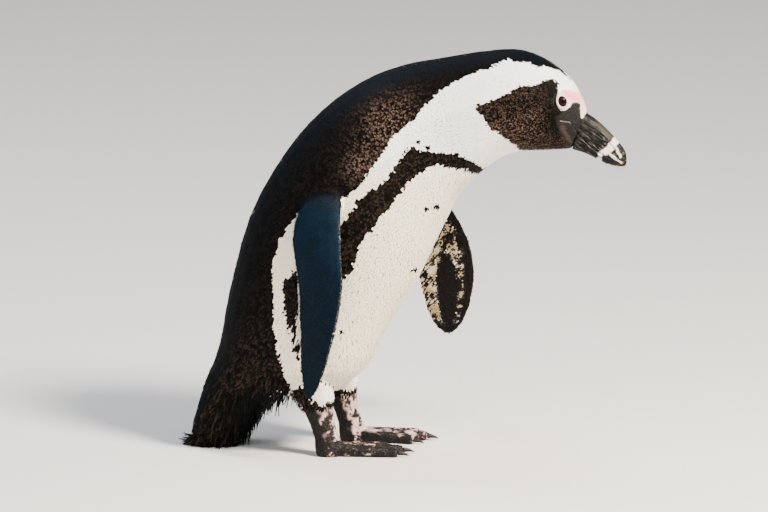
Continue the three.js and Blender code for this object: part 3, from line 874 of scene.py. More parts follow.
def flipper_marks(points, facing, name):
    """The same four values on a flipper: slate with a painted sheen outside, cream with painted tan
    shade and dark fields underneath.
    """
    along, across, _, outward = on_blade(points, name)
    rough, fine, coarse = (ripple(points, *grain) for grain in ((8, 5), (3.2, 6), (15, 16)))
    edge_line = share(np.abs(across), 0.92, 0.96) * share(along, 0.2, 0.35)
    outer_dark = 1 - edge_line * (0.55 + 0.3 * np.sign(-across))
    lead_band = share(across + 0.06 * rough, 0.58, 0.68)
    lead_flecks = share(fine + 0.5 * rough, -0.2, 0.0) * share(across, 0.3, 0.42)
    (middle_along, middle_across), (half_along, half_across) = UNDER_OVAL
    oval = ((along - middle_along) / half_along) ** 2 + ((across - middle_across) / half_across) ** 2
    field = share(1.05 + 0.3 * rough - oval, -0.12, 0.12)
    tip = share(along + 0.03 * rough, 0.9, 0.94)
    down, over = along * BLADE_LENGTH, across * BLADE_HALF[2]
    slant = 1.6 * ripple(np.stack([(down + over) / 2.6, (down - over) / 15, 0 * down], 1), 1, 21)
    rear_share = share(-across + 0.25 * rough, 0.3, 0.5) * share(along, 0.4, 0.5)
    streaks = share(slant, -0.2, 0.0) * rear_share
    mottle = share(slant + 0.5 * coarse - 0.8 * patch(along, across, *UNDER_PLAIN), -0.25, -0.1)
    mottle = mottle * share(0.58 + 0.06 * rough - along, -0.03, 0.03)
    under_dark = np.maximum.reduce([lead_band, lead_flecks, field, tip, streaks, mottle])
    outer = share((facing * outward).sum(1), -0.15, 0.1)
    dark = outer_dark * outer + under_dark * (1 - outer)
    warm = (1 - outer) * 0.85
    # painted sheen: the outer face shines blue, lighter towards the shoulder
    sheen = (0.75 + 0.25 * coarse + 0.15 * rough) * (1 - 0.3 * share(along, 0.35, 0.8))
    # painted shade: the cream underside turns tan beyond the root
    shade_tan = 0.45 + 0.55 * share(along, 0.05, 0.2)
    fleck = np.where(dark > 0.5, 0.1 * (1 - outer) + outer * sheen, 0.1 * outer + (1 - outer) * shade_tan)
    marks = np.stack([dark, np.zeros(len(points)), warm, np.clip(fleck, 0, 1)], 1)
    shoulder = share(-along, -0.24, -0.06)[:, None]
    return marks + shoulder * (SHOULDER_MARKS - marks)


for name in FLIPPERS:
    marks = flipper_marks(skin_points[part_is[name]], skin_normals[part_is[name]], name)
    print("means of the four values of", name + ":", np.round(marks.mean(0), 2))


# %% [markdown]
# ## The legs' markings
#
# White thighs end in a brown fringe that hangs lower behind. Below it shank and foot are naked pink
# hide, with black where the scutes hold pigment. Noise of two sizes makes the blotches, and four
# patches are listed one by one, because every bird has its own.

# %% The legs' four values
FRINGE_LOW, FRINGE_HIGH = 47.0, 51.0  # heights between which brown feathers fringe the leg, mm
THIGH_REAR_X, THIGH_TOP_Z = -22, 100  # the rear of the thigh is brown up to here
SHANK_PATCHES = [((-10, -50, 30), 6.5, 9), ((-3, 25, 31), 4.5, 11), ((6, 25, 28), 4.0, 11),
                 ((-8, 50, 33), 6.0, 9)]  # middle, half width and half height of dark scutes
PIGMENT_FLECK, PINK_FLECK, DOWN_FLECK = 0.8, 0.14, 0.3


def leg_marks(points, facing, dirty):
    """White thighs, a brown fringe, and bare pink skin blotched with black below it."""
    tufty = 2.6 * ripple(points, 4, 7) + 3.0 * ripple(points, 11, 17)
    z = points[:, 2] + tufty
    rear = share(-facing[:, 0] + 0.3 * ripple(points, 7, 8), -0.3, 0.02)
    bare = share(FRINGE_LOW - points[:, 2] - 0.5 * tufty, -1.5, 1.5)
    fringe = share(FRINGE_HIGH + 4 * share(-facing[:, 0], -0.6, 0.4) - z, -1.5, 1.5)
    behind = share(THIGH_REAR_X - points[:, 0], 0, 6)
    feathered = np.maximum(fringe, rear * behind * share(THIGH_TOP_Z - z, -10, 10))
    blotch = 0.9 * ripple(points * (0.7, 1, 0.6), 6, 9) + 0.7 * ripple(points, 2.4, 10) + dirty
    for middle, wide, high in SHANK_PATCHES:
        away = ((points - middle) / (wide, wide, high)) ** 2
        blotch = blotch + 1.2 * np.exp(-away.sum(1) * 1.2)
    low_rear = rear * share(50 - points[:, 2], -4, 4)
    dark = np.where(bare > 0.5, np.maximum(share(blotch, -0.1, 0.4), low_rear), feathered)
    fleck = np.where(bare > 0.5, np.where(dark > 0.5, PIGMENT_FLECK, PINK_FLECK), DOWN_FLECK)
    fleck = fleck * np.where(low_rear > 0.4, 0.3, 1)
    return np.stack([dark, bare, np.ones(len(points)), fleck], 1)


print("dark patches on the shanks:", len(SHANK_PATCHES))

# %% One function for the whole bird
TOES_FROM, TOES_TO = 18, 52  # x over which a foot grows darker towards its toes


def marks_at(points, facing, part):
    """The four values at any place of the bird, from the part of the frame that it is on."""
    marks = np.zeros((len(points), 4))
    for number, name in enumerate(FLESH):
        here = part == number
        if not here.any():
            continue
        spots, ways = points[here], facing[here]
        if name.startswith("flipper"):
            marks[here] = flipper_marks(spots, ways, name)
        elif name.startswith("leg"):
            marks[here] = leg_marks(spots, ways, 0.05 if name.endswith("right") else -0.05)
        elif name.startswith("foot"):
            toes = share(spots[:, 0], TOES_FROM, TOES_TO)
            dirty = (0.55 if name.endswith("right") else -0.05) + 0.35 * toes
            marks[here] = leg_marks(spots, ways, dirty)
        else:
            marks[here] = body_marks(spots, ways)
    return marks


# %% [markdown]
# ## Scutes and the corner of the mouth
#
# A penguin's toes and the front of its shank are plated with rows of small horny scutes. They are
# pressed into the skin as waves, measured from the ankle over the foot and from the floor up the
# shank, with a wrinkle of noise over them. The corner of the mouth is a crease along a short line.

# %% Press scutes and creases into the skin
SCUTE_STEP = 3.5  # mm between the rows of scutes on the toes and up the front of the shank
SCUTE_HEIGHT, WRINKLE_HEIGHT = 0.45, 0.22  # mm
SHANK_TOP = 44  # height up to which the shank is bare, mm
CREASE_DEPTH, CREASE_WIDTH = 0.55, 0.6  # mm
ANKLES = {"right": (-14, -38), "left": (-7, 38)}
for side, (ankle_x, ankle_y) in ANKLES.items():
    foot, leg = part_is["foot_" + side], part_is["leg_" + side]
    out = np.hypot(skin_points[:, 0] - ankle_x, skin_points[:, 1] - ankle_y)
    rows = np.where(foot, out, skin_points[:, 2])
    above = share(skin_normals[:, 2], 0.1, 0.6) * share(out, 10, 18) * share(80 - out, 0, 8) * foot
    ahead = share(skin_normals[:, 0], 0.0, 0.6) * share(SHANK_TOP - skin_points[:, 2], 0, 6) * leg
    wave = np.sqrt(np.abs(np.sin(math.pi * (rows + 0.6 * ripple(skin_points, 6, 19)) / SCUTE_STEP)))
    raised = SCUTE_HEIGHT * (wave - 0.7) * np.maximum(above, ahead)
    naked = foot | (leg & (skin_points[:, 2] < SHANK_TOP))
    wrinkle = WRINKLE_HEIGHT * ripple(skin_points, 2.6, 20) * naked
    skin_points = skin_points + skin_normals * (raised + wrinkle)[:, None]

mouth_near = away_from(skin_points[:, [0, 2]], MOUTH_CORNER)
crease = CREASE_DEPTH * np.exp(-(mouth_near / CREASE_WIDTH) ** 2)
crease = crease * (skin_points[:, 0] > 200) * part_is["head"]
skin_points = skin_points - skin_normals * crease[:, None]
move_to(skin.data, skin_points)
skin_marks = marks_at(skin_points + skin_normals * coat_depth[:, None], skin_normals, skin_part)
print("share of the skin that is dark:", round(float((skin_marks[:, 0] > 0.5).mean()), 2))

# %% [markdown]
# ## The lie of the feathers
#
# Body feathers point from the bill to the tail, a flipper's from the shoulder to the tip, and a
# leg's down. Each vertex of the skin takes the way of the nearest stretch of the spine, the blade
# or the leg; the ways are then blended over the skin and turned into its surface.

# %% Flow over the skin
SPINE = [(222, 316), (190, 334), (150, 334), (100, 317), (45, 282), (5, 238), (-30, 180),
         (-52, 122), (-78, 76), (-108, 38), (-137, 2)]  # x and z inside the body, bill to tail


def on_spine(points):
    """How far from the bill's root to the tail's tip each point lies, 0 to 1, and the way there."""
    line = np.array(SPINE, float)
    lengths = np.linalg.norm(np.diff(line, axis=0), axis=1)
    walked = np.concatenate([[0], np.cumsum(lengths)])
    best = np.full(len(points), 1e9)
    place, way = np.zeros(len(points)), np.zeros((len(points), 3))
    middle = np.zeros((len(points), 3))
    flat = points[:, [0, 2]]
    for i, length in enumerate(lengths):
        step = (line[i + 1] - line[i]) / length
        t = np.clip((flat - line[i]) @ step, 0, length)
        spot = line[i] + t[:, None] * step
        away = ((flat - spot) ** 2).sum(1)
        closer = away < best
        best = np.where(closer, away, best)
        place = np.where(closer, (walked[i] + t) / walked[-1], place)
        way[closer] = (step[0], 0, step[1])
        middle[closer] = np.stack([spot[:, 0], 0 * t, spot[:, 1]], 1)[closer]
    return place, way, middle


LEG_FLOW = (-0.15, 0, -1)
skin_place, skin_flow, _ = on_spine(skin_points)
for name in FLIPPERS:
    skin_flow[part_is[name]] = on_blade(skin_points[part_is[name]], name)[2]
for name in ("leg_right", "leg_left"):
    skin_flow[part_is[name]] = LEG_FLOW


def into_surface(vectors, facing):
    """Directions turned into the surface that faces the given way, each with a length of 1."""
    flat = vectors - (vectors * facing).sum(1)[:, None] * facing
    return flat / np.maximum(np.linalg.norm(flat, axis=1), 1e-6)[:, None]


skin_flow = into_surface(skin_flow, skin_normals)
skin_flow = into_surface(spread(skin_flow, skin_edges, 14), skin_normals)
print("mean way of the feathers:", np.round(skin_flow.mean(0), 2))

# %% Write the fields on the skin
FIELD_OF = {"FLOAT": "value", "FLOAT_COLOR": "color", "FLOAT_VECTOR": "vector"}


def give(mesh, name, kind, values):
    """Stores an array as an attribute of a mesh's vertices."""
    attribute = mesh.attributes.new(name, kind, "POINT")
    attribute.data.foreach_set(FIELD_OF[kind], np.ascontiguousarray(values, np.float32).ravel())


give(skin.data, "marks", "FLOAT_COLOR", skin_marks)
give(skin.data, "flow", "FLOAT_VECTOR", skin_flow)
bare_near = spread(skin_marks[:, 1], skin_edges, 12)
give(skin.data, "depth", "FLOAT", coat_depth * (1 - 0.8 * np.clip(bare_near * 1.6, 0, 1)))
give(skin.data, "part", "FLOAT", skin_part)
skin_fields = {"marks", "flow", "depth", "part"} & set(skin.data.attributes.keys())
print("fields on the skin:", sorted(skin_fields))

# %% [markdown]
# ## Colours of plumage and bare skin
#
# The four values become colours in one group of nodes, used by the skin and by every feather, so the
# two can't disagree. Dark feathers run from a slate blue on the spine and flippers, partly a painted
# reflection of a blue sky, to a brown black on the sides, partly painted sunlight. They have lighter
# brown flecks where old feathers are worn and a painted sheen on the flippers. White feathers run
# from clean to creamy, and to a tan of painted shade on the flippers' undersides. Bare skin is pink,
# or grey black where it holds pigment.

# %% Colours of feathers and of hide
# painted light: slate and steel blue are partly a painted reflection of a blue sky on the spine and
# flippers; brown black is partly painted sunlight on the sides
SLATE = "#02060a"
BROWN_BLACK = "#040302"
WORN_BROWN = "#755e50"
STEEL_BLUE = "#0a2a40"
FRESH_TIP = "#1d1b1b"
CLEAN_WHITE = "#faf8f5"
CREAM = "#f2e6d0"
DOWN_SHADE = "#d9cfc0"
# painted shade: the tan of the flippers' shaded undersides
SHADE_TAN_UNDERSIDE = "#a98d62"
BARE_PINK = "#d8808d"
BARE_PALE = "#f1d8d2"
DUSTY = "#8a756d"
BARE_BLACK = "#0c0b0a"
BARE_TAN = "#3b2d24"
BARE_GREY = "#4d4643"
FLECK_SIZE, CLOUD_SIZE = 1.2, 14  # mm
TINT = {"data_type": "RGBA"}
SMOOTH = {"interpolation_type": "SMOOTHSTEP"}
print("slate in linear light:", np.round(paint(SLATE)[:3], 3))

# %% Three kinds of surface as nodes


def dark_feathers(group, warm, fleck, lightness, grain):
    """Slate or brown black, lighter in flecks of wear and of painted sheen, with a paler tip."""
    speckle = add(group, "ShaderNodeMath", {0: grain, 1: 0.65}, operation="MULTIPLY").outputs[0]
    speckle = add(group, "ShaderNodeMath", {0: lightness, 1: 0.6, 2: speckle},
                  operation="MULTIPLY_ADD").outputs[0]
    wear_and_painted_light = add(group, "ShaderNodeMapRange", {"Value": speckle, "From Min": 0.43, "From Max": 0.8},
               **SMOOTH).outputs["Result"]
    steady = add(group, "ShaderNodeMapRange", {"Value": warm, "To Min": 0.2, "To Max": 1.0})
    wear_and_painted_light = add(group, "ShaderNodeMix", {0: steady.outputs["Result"], 2: 0.5, 3: wear_and_painted_light}).outputs[0]
    wear_and_painted_light = add(group, "ShaderNodeMath", {0: wear_and_painted_light, 1: fleck}, operation="MULTIPLY").outputs[0]
    # painted light: warm runs from the painted sky blue of the spine and flippers to the brown black
    # of the sides, partly painted sunlight
    black = add(group, "ShaderNodeMix", {0: warm, 6: paint(SLATE), 7: paint(BROWN_BLACK)}, **TINT)
    pale = add(group, "ShaderNodeMix", {0: warm, 6: paint(STEEL_BLUE), 7: paint(WORN_BROWN)}, **TINT)
    black = add(group, "ShaderNodeMix", {0: wear_and_painted_light, 6: black.outputs[2], 7: pale.outputs[2]}, **TINT)
    tip = add(group, "ShaderNodeMath", {0: lightness, 1: 0.14}, operation="MULTIPLY").outputs[0]
    black = add(group, "ShaderNodeMix", {0: tip, 6: black.outputs[2], 7: paint(FRESH_TIP)}, **TINT)
    return black.outputs[2]


def white_feathers(group, fleck, cloud):
    """Clean, then creamy, then tan of painted shade in patches, as the fourth value rises."""
    creamy = add(group, "ShaderNodeMapRange", {"Value": fleck, "From Min": 0.0, "From Max": 0.5})
    shade_tan = add(group, "ShaderNodeMapRange", {"Value": fleck, "From Min": 0.5, "From Max": 1.0})
    patchy = add(group, "ShaderNodeMapRange", {"Value": cloud, "From Min": 0.2, "From Max": 0.6},
                 **SMOOTH)
    shade_tan = add(group, "ShaderNodeMath", {0: shade_tan.outputs[0], 1: patchy.outputs[0]},
                operation="MULTIPLY").outputs[0]
    white = add(group, "ShaderNodeMix", {0: creamy.outputs[0], 6: paint(CLEAN_WHITE),
                                         7: paint(CREAM)}, **TINT)
    white = add(group, "ShaderNodeMix", {0: shade_tan, 6: white.outputs[2], 7: paint(SHADE_TAN_UNDERSIDE)}, **TINT)
    dim = add(group, "ShaderNodeMapRange", {"Value": cloud, "From Min": 0.4, "From Max": 0.8,
                                            "To Max": 0.12}, **SMOOTH)
    white = add(group, "ShaderNodeMix", {0: dim.outputs[0], 6: white.outputs[2],
                                         7: paint(DOWN_SHADE)}, **TINT)
    return white.outputs[2]


def bare_skin(group, dark, warm, fleck, grain, cloud):
    """Pale to pink, dusty on the legs, and black, grey or tan where it holds pigment."""
    uneven = add(group, "ShaderNodeMapRange", {"Value": cloud, "From Min": -0.15, "From Max": 0.55})
    blush = add(group, "ShaderNodeMath", {0: fleck, 1: uneven.outputs[0]}, operation="MULTIPLY")
    pink = add(group, "ShaderNodeMix", {0: blush.outputs[0], 6: paint(BARE_PALE),
                                        7: paint(BARE_PINK)}, **TINT)
    dust = add(group, "ShaderNodeMapRange", {"Value": grain, "From Min": 0.3, "From Max": 0.7,
                                             "To Min": 0.3, "To Max": 0.9}, **SMOOTH)
    dust = add(group, "ShaderNodeMath", {0: dust.outputs[0], 1: warm}, operation="MULTIPLY")
    pink = add(group, "ShaderNodeMix", {0: dust.outputs[0], 6: pink.outputs[2],
                                        7: paint(DUSTY)}, **TINT)
    pigment = add(group, "ShaderNodeMix", {0: warm, 6: paint(BARE_TAN), 7: paint(BARE_BLACK)}, **TINT)
    ashen = add(group, "ShaderNodeMapRange", {"Value": grain, "From Min": 0.45, "From Max": 0.75},
                **SMOOTH)
    ashen = add(group, "ShaderNodeMath", {0: ashen.outputs[0], 1: fleck}, operation="MULTIPLY")
    pigment = add(group, "ShaderNodeMix", {0: ashen.outputs[0], 6: pigment.outputs[2],
                                           7: paint(BARE_GREY)}, **TINT)
    naked = add(group, "ShaderNodeMix", {0: dark, 6: pink.outputs[2], 7: pigment.outputs[2]}, **TINT)
    return naked.outputs[2]


# %% The group that turns markings into colour


def plumage_group():
    """A node group: colour out, from the marks attribute and a lightness per feather."""
    group = bpy.data.node_groups.new("plumage colour", "ShaderNodeTree")
    group.interface.new_socket("Lightness", in_out="INPUT", socket_type="NodeSocketFloat")
    group.interface.new_socket("Colour", in_out="OUTPUT", socket_type="NodeSocketColor")
    lightness = add(group, "NodeGroupInput").outputs["Lightness"]
    marks = add(group, "ShaderNodeAttribute", attribute_name="marks")
    parts = add(group, "ShaderNodeSeparateColor", {"Color": marks.outputs["Color"]}).outputs
    dark, bare, warm, fleck = parts["Red"], parts["Green"], parts["Blue"], marks.outputs["Alpha"]
    place = add(group, "ShaderNodeTexCoord").outputs["Object"]
    grain = add(group, "ShaderNodeTexNoise", {"Vector": place, "Scale": 1 / (FLECK_SIZE * MM),
                                              "Detail": 2.0, "Roughness": 0.6}).outputs["Fac"]
    cloud = add(group, "ShaderNodeTexNoise", {"Vector": place, "Scale": 1 / (CLOUD_SIZE * MM),
                                              "Detail": 3.0}).outputs["Fac"]
    black = dark_feathers(group, warm, fleck, lightness, grain)
    white = white_feathers(group, fleck, cloud)
    vanes = add(group, "ShaderNodeMix", {0: dark, 6: white, 7: black}, **TINT)
    naked = bare_skin(group, dark, warm, fleck, grain, cloud)
    all_over = add(group, "ShaderNodeMix", {0: bare, 6: vanes.outputs[2], 7: naked}, **TINT)
    add(group, "NodeGroupOutput", {"Colour": all_over.outputs[2]})
    return group


plumage_colours = plumage_group()
print("nodes in the plumage group:", len(plumage_colours.nodes))

# %% [markdown]
# ## The skin's finish
#
# Bare skin is soft and finely pebbled, with a dull shine. On the feet the pebbles are small scales.
# Elsewhere the skin hardly shows between the feathers, so it has the plumage's colour and looks like
# the down under them.

# %% Skin: naked hide on the face and feet, down elsewhere
SCALE_SIZE, CREASE_SIZE = 1.9, 0.8  # mm


def shade_smooth(mesh):
    mesh.polygons.foreach_set("use_smooth", np.ones(len(mesh.polygons), bool))


skin_hide, hide_tree, hide_shader = new_material(
    "penguin skin, bare and downy", Roughness=0.6, Specular_IOR_Level=0.12)
colours = add(hide_tree, "ShaderNodeGroup", node_tree=plumage_colours)
colours.inputs["Lightness"].default_value = 0.35
hide_place = add(hide_tree, "ShaderNodeTexCoord").outputs["Object"]
scales = add(hide_tree, "ShaderNodeTexVoronoi", {"Vector": hide_place,
                                                   "Scale": 1 / (SCALE_SIZE * MM)},
             feature="DISTANCE_TO_EDGE")
creases = add(hide_tree, "ShaderNodeTexNoise", {"Vector": hide_place, "Detail": 3.0,
                                                "Scale": 1 / (CREASE_SIZE * MM)})
relief = add(hide_tree, "ShaderNodeMath", {0: scales.outputs["Distance"], 1: creases.outputs["Fac"]},
             operation="ADD")
bump = add(hide_tree, "ShaderNodeBump", {"Height": relief.outputs[0], "Strength": 0.55,
                                         "Distance": 0.0006})
hide_tree.links.new(colours.outputs["Colour"], hide_shader.inputs["Base Color"])
hide_tree.links.new(bump.outputs["Normal"], hide_shader.inputs["Normal"])
skin.data.materials.clear()
skin.data.materials.append(skin_hide)

shade_smooth(skin.data)
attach(skin, "root")
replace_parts(skin, *FLESH)
print("skin replaces", len(FLESH), "solids")

# %% [markdown]
# ## One feather, and how it is laid
#
# A penguin's body feather is small, stiff and overlaps its neighbours like a tile. One closed leaf
# of twelve triangles stands for it. Copies are sown over the skin at even distances, turned into
# the flow, and tilted so that their roots are under the skin and their tips at the coat's full
# depth. Geometry Nodes finds the places, arrays make the copies.

# %% The leaf


def feather_leaf(name, shoulder, tip_width):
    """A closed leaf along x from 0 to 1, half a unit wide to each side, a ridge down its middle."""
    shape = bmesh.new()
    bmesh.ops.create_uvsphere(shape, u_segments=6, v_segments=2, radius=0.5)
    for vert in shape.verts:
        if abs(vert.co.z) > 0.3:
            vert.co = (shoulder - 0.1, 0, math.copysign(0.5, vert.co.z))
        elif abs(vert.co.y) > 0.2:
            wide = 1.0 if vert.co.x < 0 else tip_width
            vert.co.y = math.copysign(0.5 * wide, vert.co.y)
            vert.co.x = shoulder * 0.45 if vert.co.x < 0 else shoulder + 0.12
        else:
            vert.co = (0.0 if vert.co.x < 0 else 1.0, 0, 0)
    bmesh.ops.recalc_face_normals(shape, faces=shape.faces)
    bmesh.ops.triangulate(shape, faces=shape.faces)
    shape.verts.index_update()
    corners = np.array([vert.co[:] for vert in shape.verts])
    faces = np.array([[vert.index for vert in face.verts] for face in shape.faces])
    shape.free()
    print(name, "vertices", len(corners), "triangles", len(faces))
    return corners, faces


BROAD_LEAF = feather_leaf("body feather", 0.66, 0.86)
NARROW_LEAF = feather_leaf("tail feather", 0.72, 0.7)

# %% A group of nodes that sows


def sowing_group():
    """Geometry nodes: evenly spaced points on the faces, as vertices with the skin's fields."""
    group = bpy.data.node_groups.new("sow", "GeometryNodeTree")
    group.interface.new_socket("Geometry", in_out="INPUT", socket_type="NodeSocketGeometry")
    group.interface.new_socket("Spacing", in_out="INPUT", socket_type="NodeSocketFloat")
    group.interface.new_socket("Seed", in_out="INPUT", socket_type="NodeSocketInt")
    group.interface.new_socket("Geometry", in_out="OUTPUT", socket_type="NodeSocketGeometry")
    given = add(group, "NodeGroupInput")
    where = add(group, "GeometryNodeInputNamedAttribute", {"Name": "sown"}, data_type="FLOAT")
    density = add(group, "ShaderNodeMath", {0: given.outputs["Spacing"], 1: -2.0}, operation="POWER")
    most = add(group, "ShaderNodeMath", {0: density.outputs[0], 1: 4.0}, operation="MULTIPLY")
    strewn = add(group, "GeometryNodeDistributePointsOnFaces", {
        "Mesh": given.outputs["Geometry"], "Distance Min": given.outputs["Spacing"],
        "Density Max": most.outputs[0], "Density Factor": where.outputs["Attribute"],
        "Seed": given.outputs["Seed"]}, distribute_method="POISSON")
    facing = add(group, "GeometryNodeStoreNamedAttribute", {
        "Geometry": strewn.outputs["Points"], "Name": "facing", "Value": strewn.outputs["Normal"]},
        data_type="FLOAT_VECTOR")
    verts = add(group, "GeometryNodePointsToVertices", {"Points": facing.outputs["Geometry"]})
    add(group, "NodeGroupOutput", {"Geometry": verts.outputs["Mesh"]})
    return group


sowing = sowing_group()
print("nodes in the sowing group:", len(sowing.nodes))

# %% Sow, and read what was sown


def read(mesh, name, width):
    """An attribute of a mesh as an array."""
    attribute = mesh.attributes[name]
    return gather(attribute.data, FIELD_OF[attribute.data_type], width).astype(float)


def sow(wanted, spacing, seed):
    """Roots spaced evenly where wanted is 1: their places, facing, flow, depth and part."""
    give(skin.data, "sown", "FLOAT", wanted)
    modifier = skin.modifiers.new("sow", "NODES")
    modifier.node_group = sowing
    modifier["Socket_1"] = spacing * MM
    modifier["Socket_2"] = seed
    strewn = finished_mesh(skin)
    skin.data.attributes.remove(skin.data.attributes["sown"])
    roots = {
        "at": places_of(strewn), "facing": read(strewn, "facing", 3),
        "flow": read(strewn, "flow", 3), "depth": read(strewn, "depth", 1)[:, 0],
        "part": np.rint(read(strewn, "part", 1)[:, 0]).astype(int),
    }
    bpy.data.meshes.remove(strewn)
    return roots


# %% Each root's place on a flat map of the skin
MAP_MARGIN = 0.004  # share of the baking map left free along its rim
PATCH = 0.0015  # half the width of one feather's patch on the map


def unwrap(roots):
    """A place for each root on a flat map of the skin: round the body and along it, 0 to 1."""
    points, name = roots["at"], FLESH[roots["part"][0]]
    if name.startswith("flipper"):
        along, across, way, outward = on_blade(points, name)
        face = np.where((roots["facing"] * outward).sum(1) > 0, 1, -1)
        round_it = 0.5 + face * 0.25 * (1 + np.clip(across, -1, 1)) * 0.98
        return np.stack([round_it, along], 1)
    place, way, middle = on_spine(points)
    out = points - middle
    across = np.cross(way, (0, 1, 0))
    angle = np.arctan2(out[:, 1], (out * across).sum(1))
    return np.stack([angle / (2 * math.pi) + 0.5, place], 1)


def add_baking_map(mesh, roots, corners, index):
    """Gives every leaf a small patch of the map, at the place of its root."""
    place = unwrap(roots)
    low, high = place.min(0), place.max(0)
    place = MAP_MARGIN + (1 - 2 * MAP_MARGIN) * (place - low) / (high - low)
    leaf_patch = PATCH * np.stack([corners[:, 0] * 2 - 1, corners[:, 1] * 2], 1)
    spots = (place[:, None] + leaf_patch[None]).reshape(-1, 2)
    baking_map = mesh.uv_layers.new(name="OFBake")
    baking_map.data.foreach_set("uv", spots[index].astype(np.float32).ravel())


# %% [markdown]
# ## Laying a coat piece
#
# A feather reads the markings near its tip, where it shows, and is then dark or white as a whole.
# Near the edge of a marking a few feathers go either way, which makes the edge ragged. The copies
# of the leaf are worked out in one array and become one mesh, because an object for each feather
# would be far too slow.

# %% What each feather is
READ_AT = 0.6  # share of its length at which a feather reads the markings
EDGE_JITTER = 0.3  # how far a feather may stray over the edge of a marking
STRAY_DARK, STRAY_WHITE = 0.06, 0.3  # the fourth value of feathers that do


def feather_marks(roots, spots, random):
    """The four values of each feather, read at spots. A feather is dark or white, never between."""
    marks = marks_at(spots, roots["facing"], roots["part"])
    hangs = (marks[:, 1] > 0.5) & (spots[:, 2] < FRINGE_HIGH)
    jitter = random.uniform(-EDGE_JITTER, EDGE_JITTER, len(spots))
    dark = (marks[:, 0] + jitter > 0.5) | hangs
    strays = dark != (marks[:, 0] > 0.5)
    marks[strays, 3] = np.where(dark, STRAY_DARK, STRAY_WHITE)[strays]
    marks[:, 0] = dark
    marks[:, 1] = 0
    return marks


# %% A mesh of many leaves


def mesh_of(name, places, faces):
    """A mesh of many leaves from all their corners and the faces of one, and its vertex indices."""
    count, corner_count = places.shape[:2]
    face_count = count * len(faces)
    mesh = bpy.data.meshes.new(name)
    mesh.vertices.add(count * corner_count)
    mesh.loops.add(face_count * 3)
    mesh.polygons.add(face_count)
    mesh.vertices.foreach_set("co", to_place(places.reshape(-1, 3)).astype(np.float32).ravel())
    index = (faces[None] + np.arange(count)[:, None, None] * corner_count).ravel()
    mesh.loops.foreach_set("vertex_index", index.astype(np.int32))
    mesh.polygons.foreach_set("loop_start", np.arange(0, face_count * 3, 3, dtype=np.int32))
    shade_smooth(mesh)
    mesh.update(calc_edges=True)
    return mesh, index


# %% Shade each vane almost as the body under it
BEND_ACROSS, BEND_ALONG = 0.25, 0.1  # how far a vane's shading leans from that of the body


def shade_with_body(mesh, corners, axes):
    """Sets the normals of all leaves, from each one's way, sideways and facing."""
    bend = corners * (0, BEND_ACROSS, 0) + (BEND_ALONG, 0, 0)
    bend[:, 2] = np.where(corners[:, 2] < -0.2, -1, 1)
    shades = np.einsum("ka,naj->nkj", bend, axes).reshape(-1, 3)
    mesh.normals_split_custom_set_from_vertices(unit(shades).astype(np.float32))


# %% One coat piece
ROOT_UNDER = 0.35  # mm by which a feather's root lies under the skin
FLOOR_GAP = 0.25  # mm between the lowest feathers and the floor


def lay(name, roots, leaf, length, width, thickness, lift, stray, seed, heading=None):
    """Makes one coat piece: a copy of the leaf on every root, along the flow or a heading."""
    random = np.random.default_rng(seed)
    corners, faces = leaf
    facing, count = roots["facing"], len(roots["at"])
    flow = into_surface(roots["flow"], facing) if heading is None else heading
    sideways = unit(np.cross(facing, flow))
    swing = random.normal(0, stray, count)[:, None]
    way = flow * np.cos(swing) + sideways * np.sin(swing)
    sideways = sideways * np.cos(swing) - flow * np.sin(swing)
    long = (length * random.uniform(0.8, 1.2, count))[:, None]
    wide = (width * random.uniform(0.85, 1.15, count))[:, None]
    rise = (roots["depth"] * lift * random.uniform(0.97, 1.0, count))[:, None]
    u, v, w = corners.T
    climb = (rise + ROOT_UNDER) * (0.8 * (1 - (1 - u) ** 2.6) + 0.2 * u) - ROOT_UNDER
    places = (roots["at"][:, None] + way[:, None] * (u * long)[:, :, None]
              + sideways[:, None] * (v * wide)[:, :, None]
              + facing[:, None] * (climb + w * thickness)[:, :, None])
    places[:, :, 2] = np.maximum(places[:, :, 2], FLOOR_GAP)
    spots = roots["at"] + way * long * READ_AT + facing * roots["depth"][:, None]
    marks = feather_marks(roots, spots, random)

    mesh, index = mesh_of(name, places, faces)
    shade_with_body(mesh, corners, np.stack([way, sideways, facing], 1))
    give(mesh, "marks", "FLOAT_COLOR", np.repeat(marks, len(corners), axis=0))
    give(mesh, "vane", "FLOAT", np.tile(u, count))
    give(mesh, "tone", "FLOAT", np.repeat(random.uniform(0, 1, count), len(corners)))

    add_baking_map(mesh, roots, corners, index)
    mesh.materials.append(feather_finish)
    coat = new_object(name, mesh)
    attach(coat, "root")
    print(name, "feathers", count, "triangles", len(mesh.polygons))


# %% [markdown]
# ## The feathers' finish
#
# A vane is stiff keratin combed into barbs: matt, with a faint silky shine along the body. The
# barbs are a fine bump. The colour is the plumage group's, a little lighter towards the tip of
# some feathers, and each vane is shaded almost as the body under it, so that the coat looks sleek.

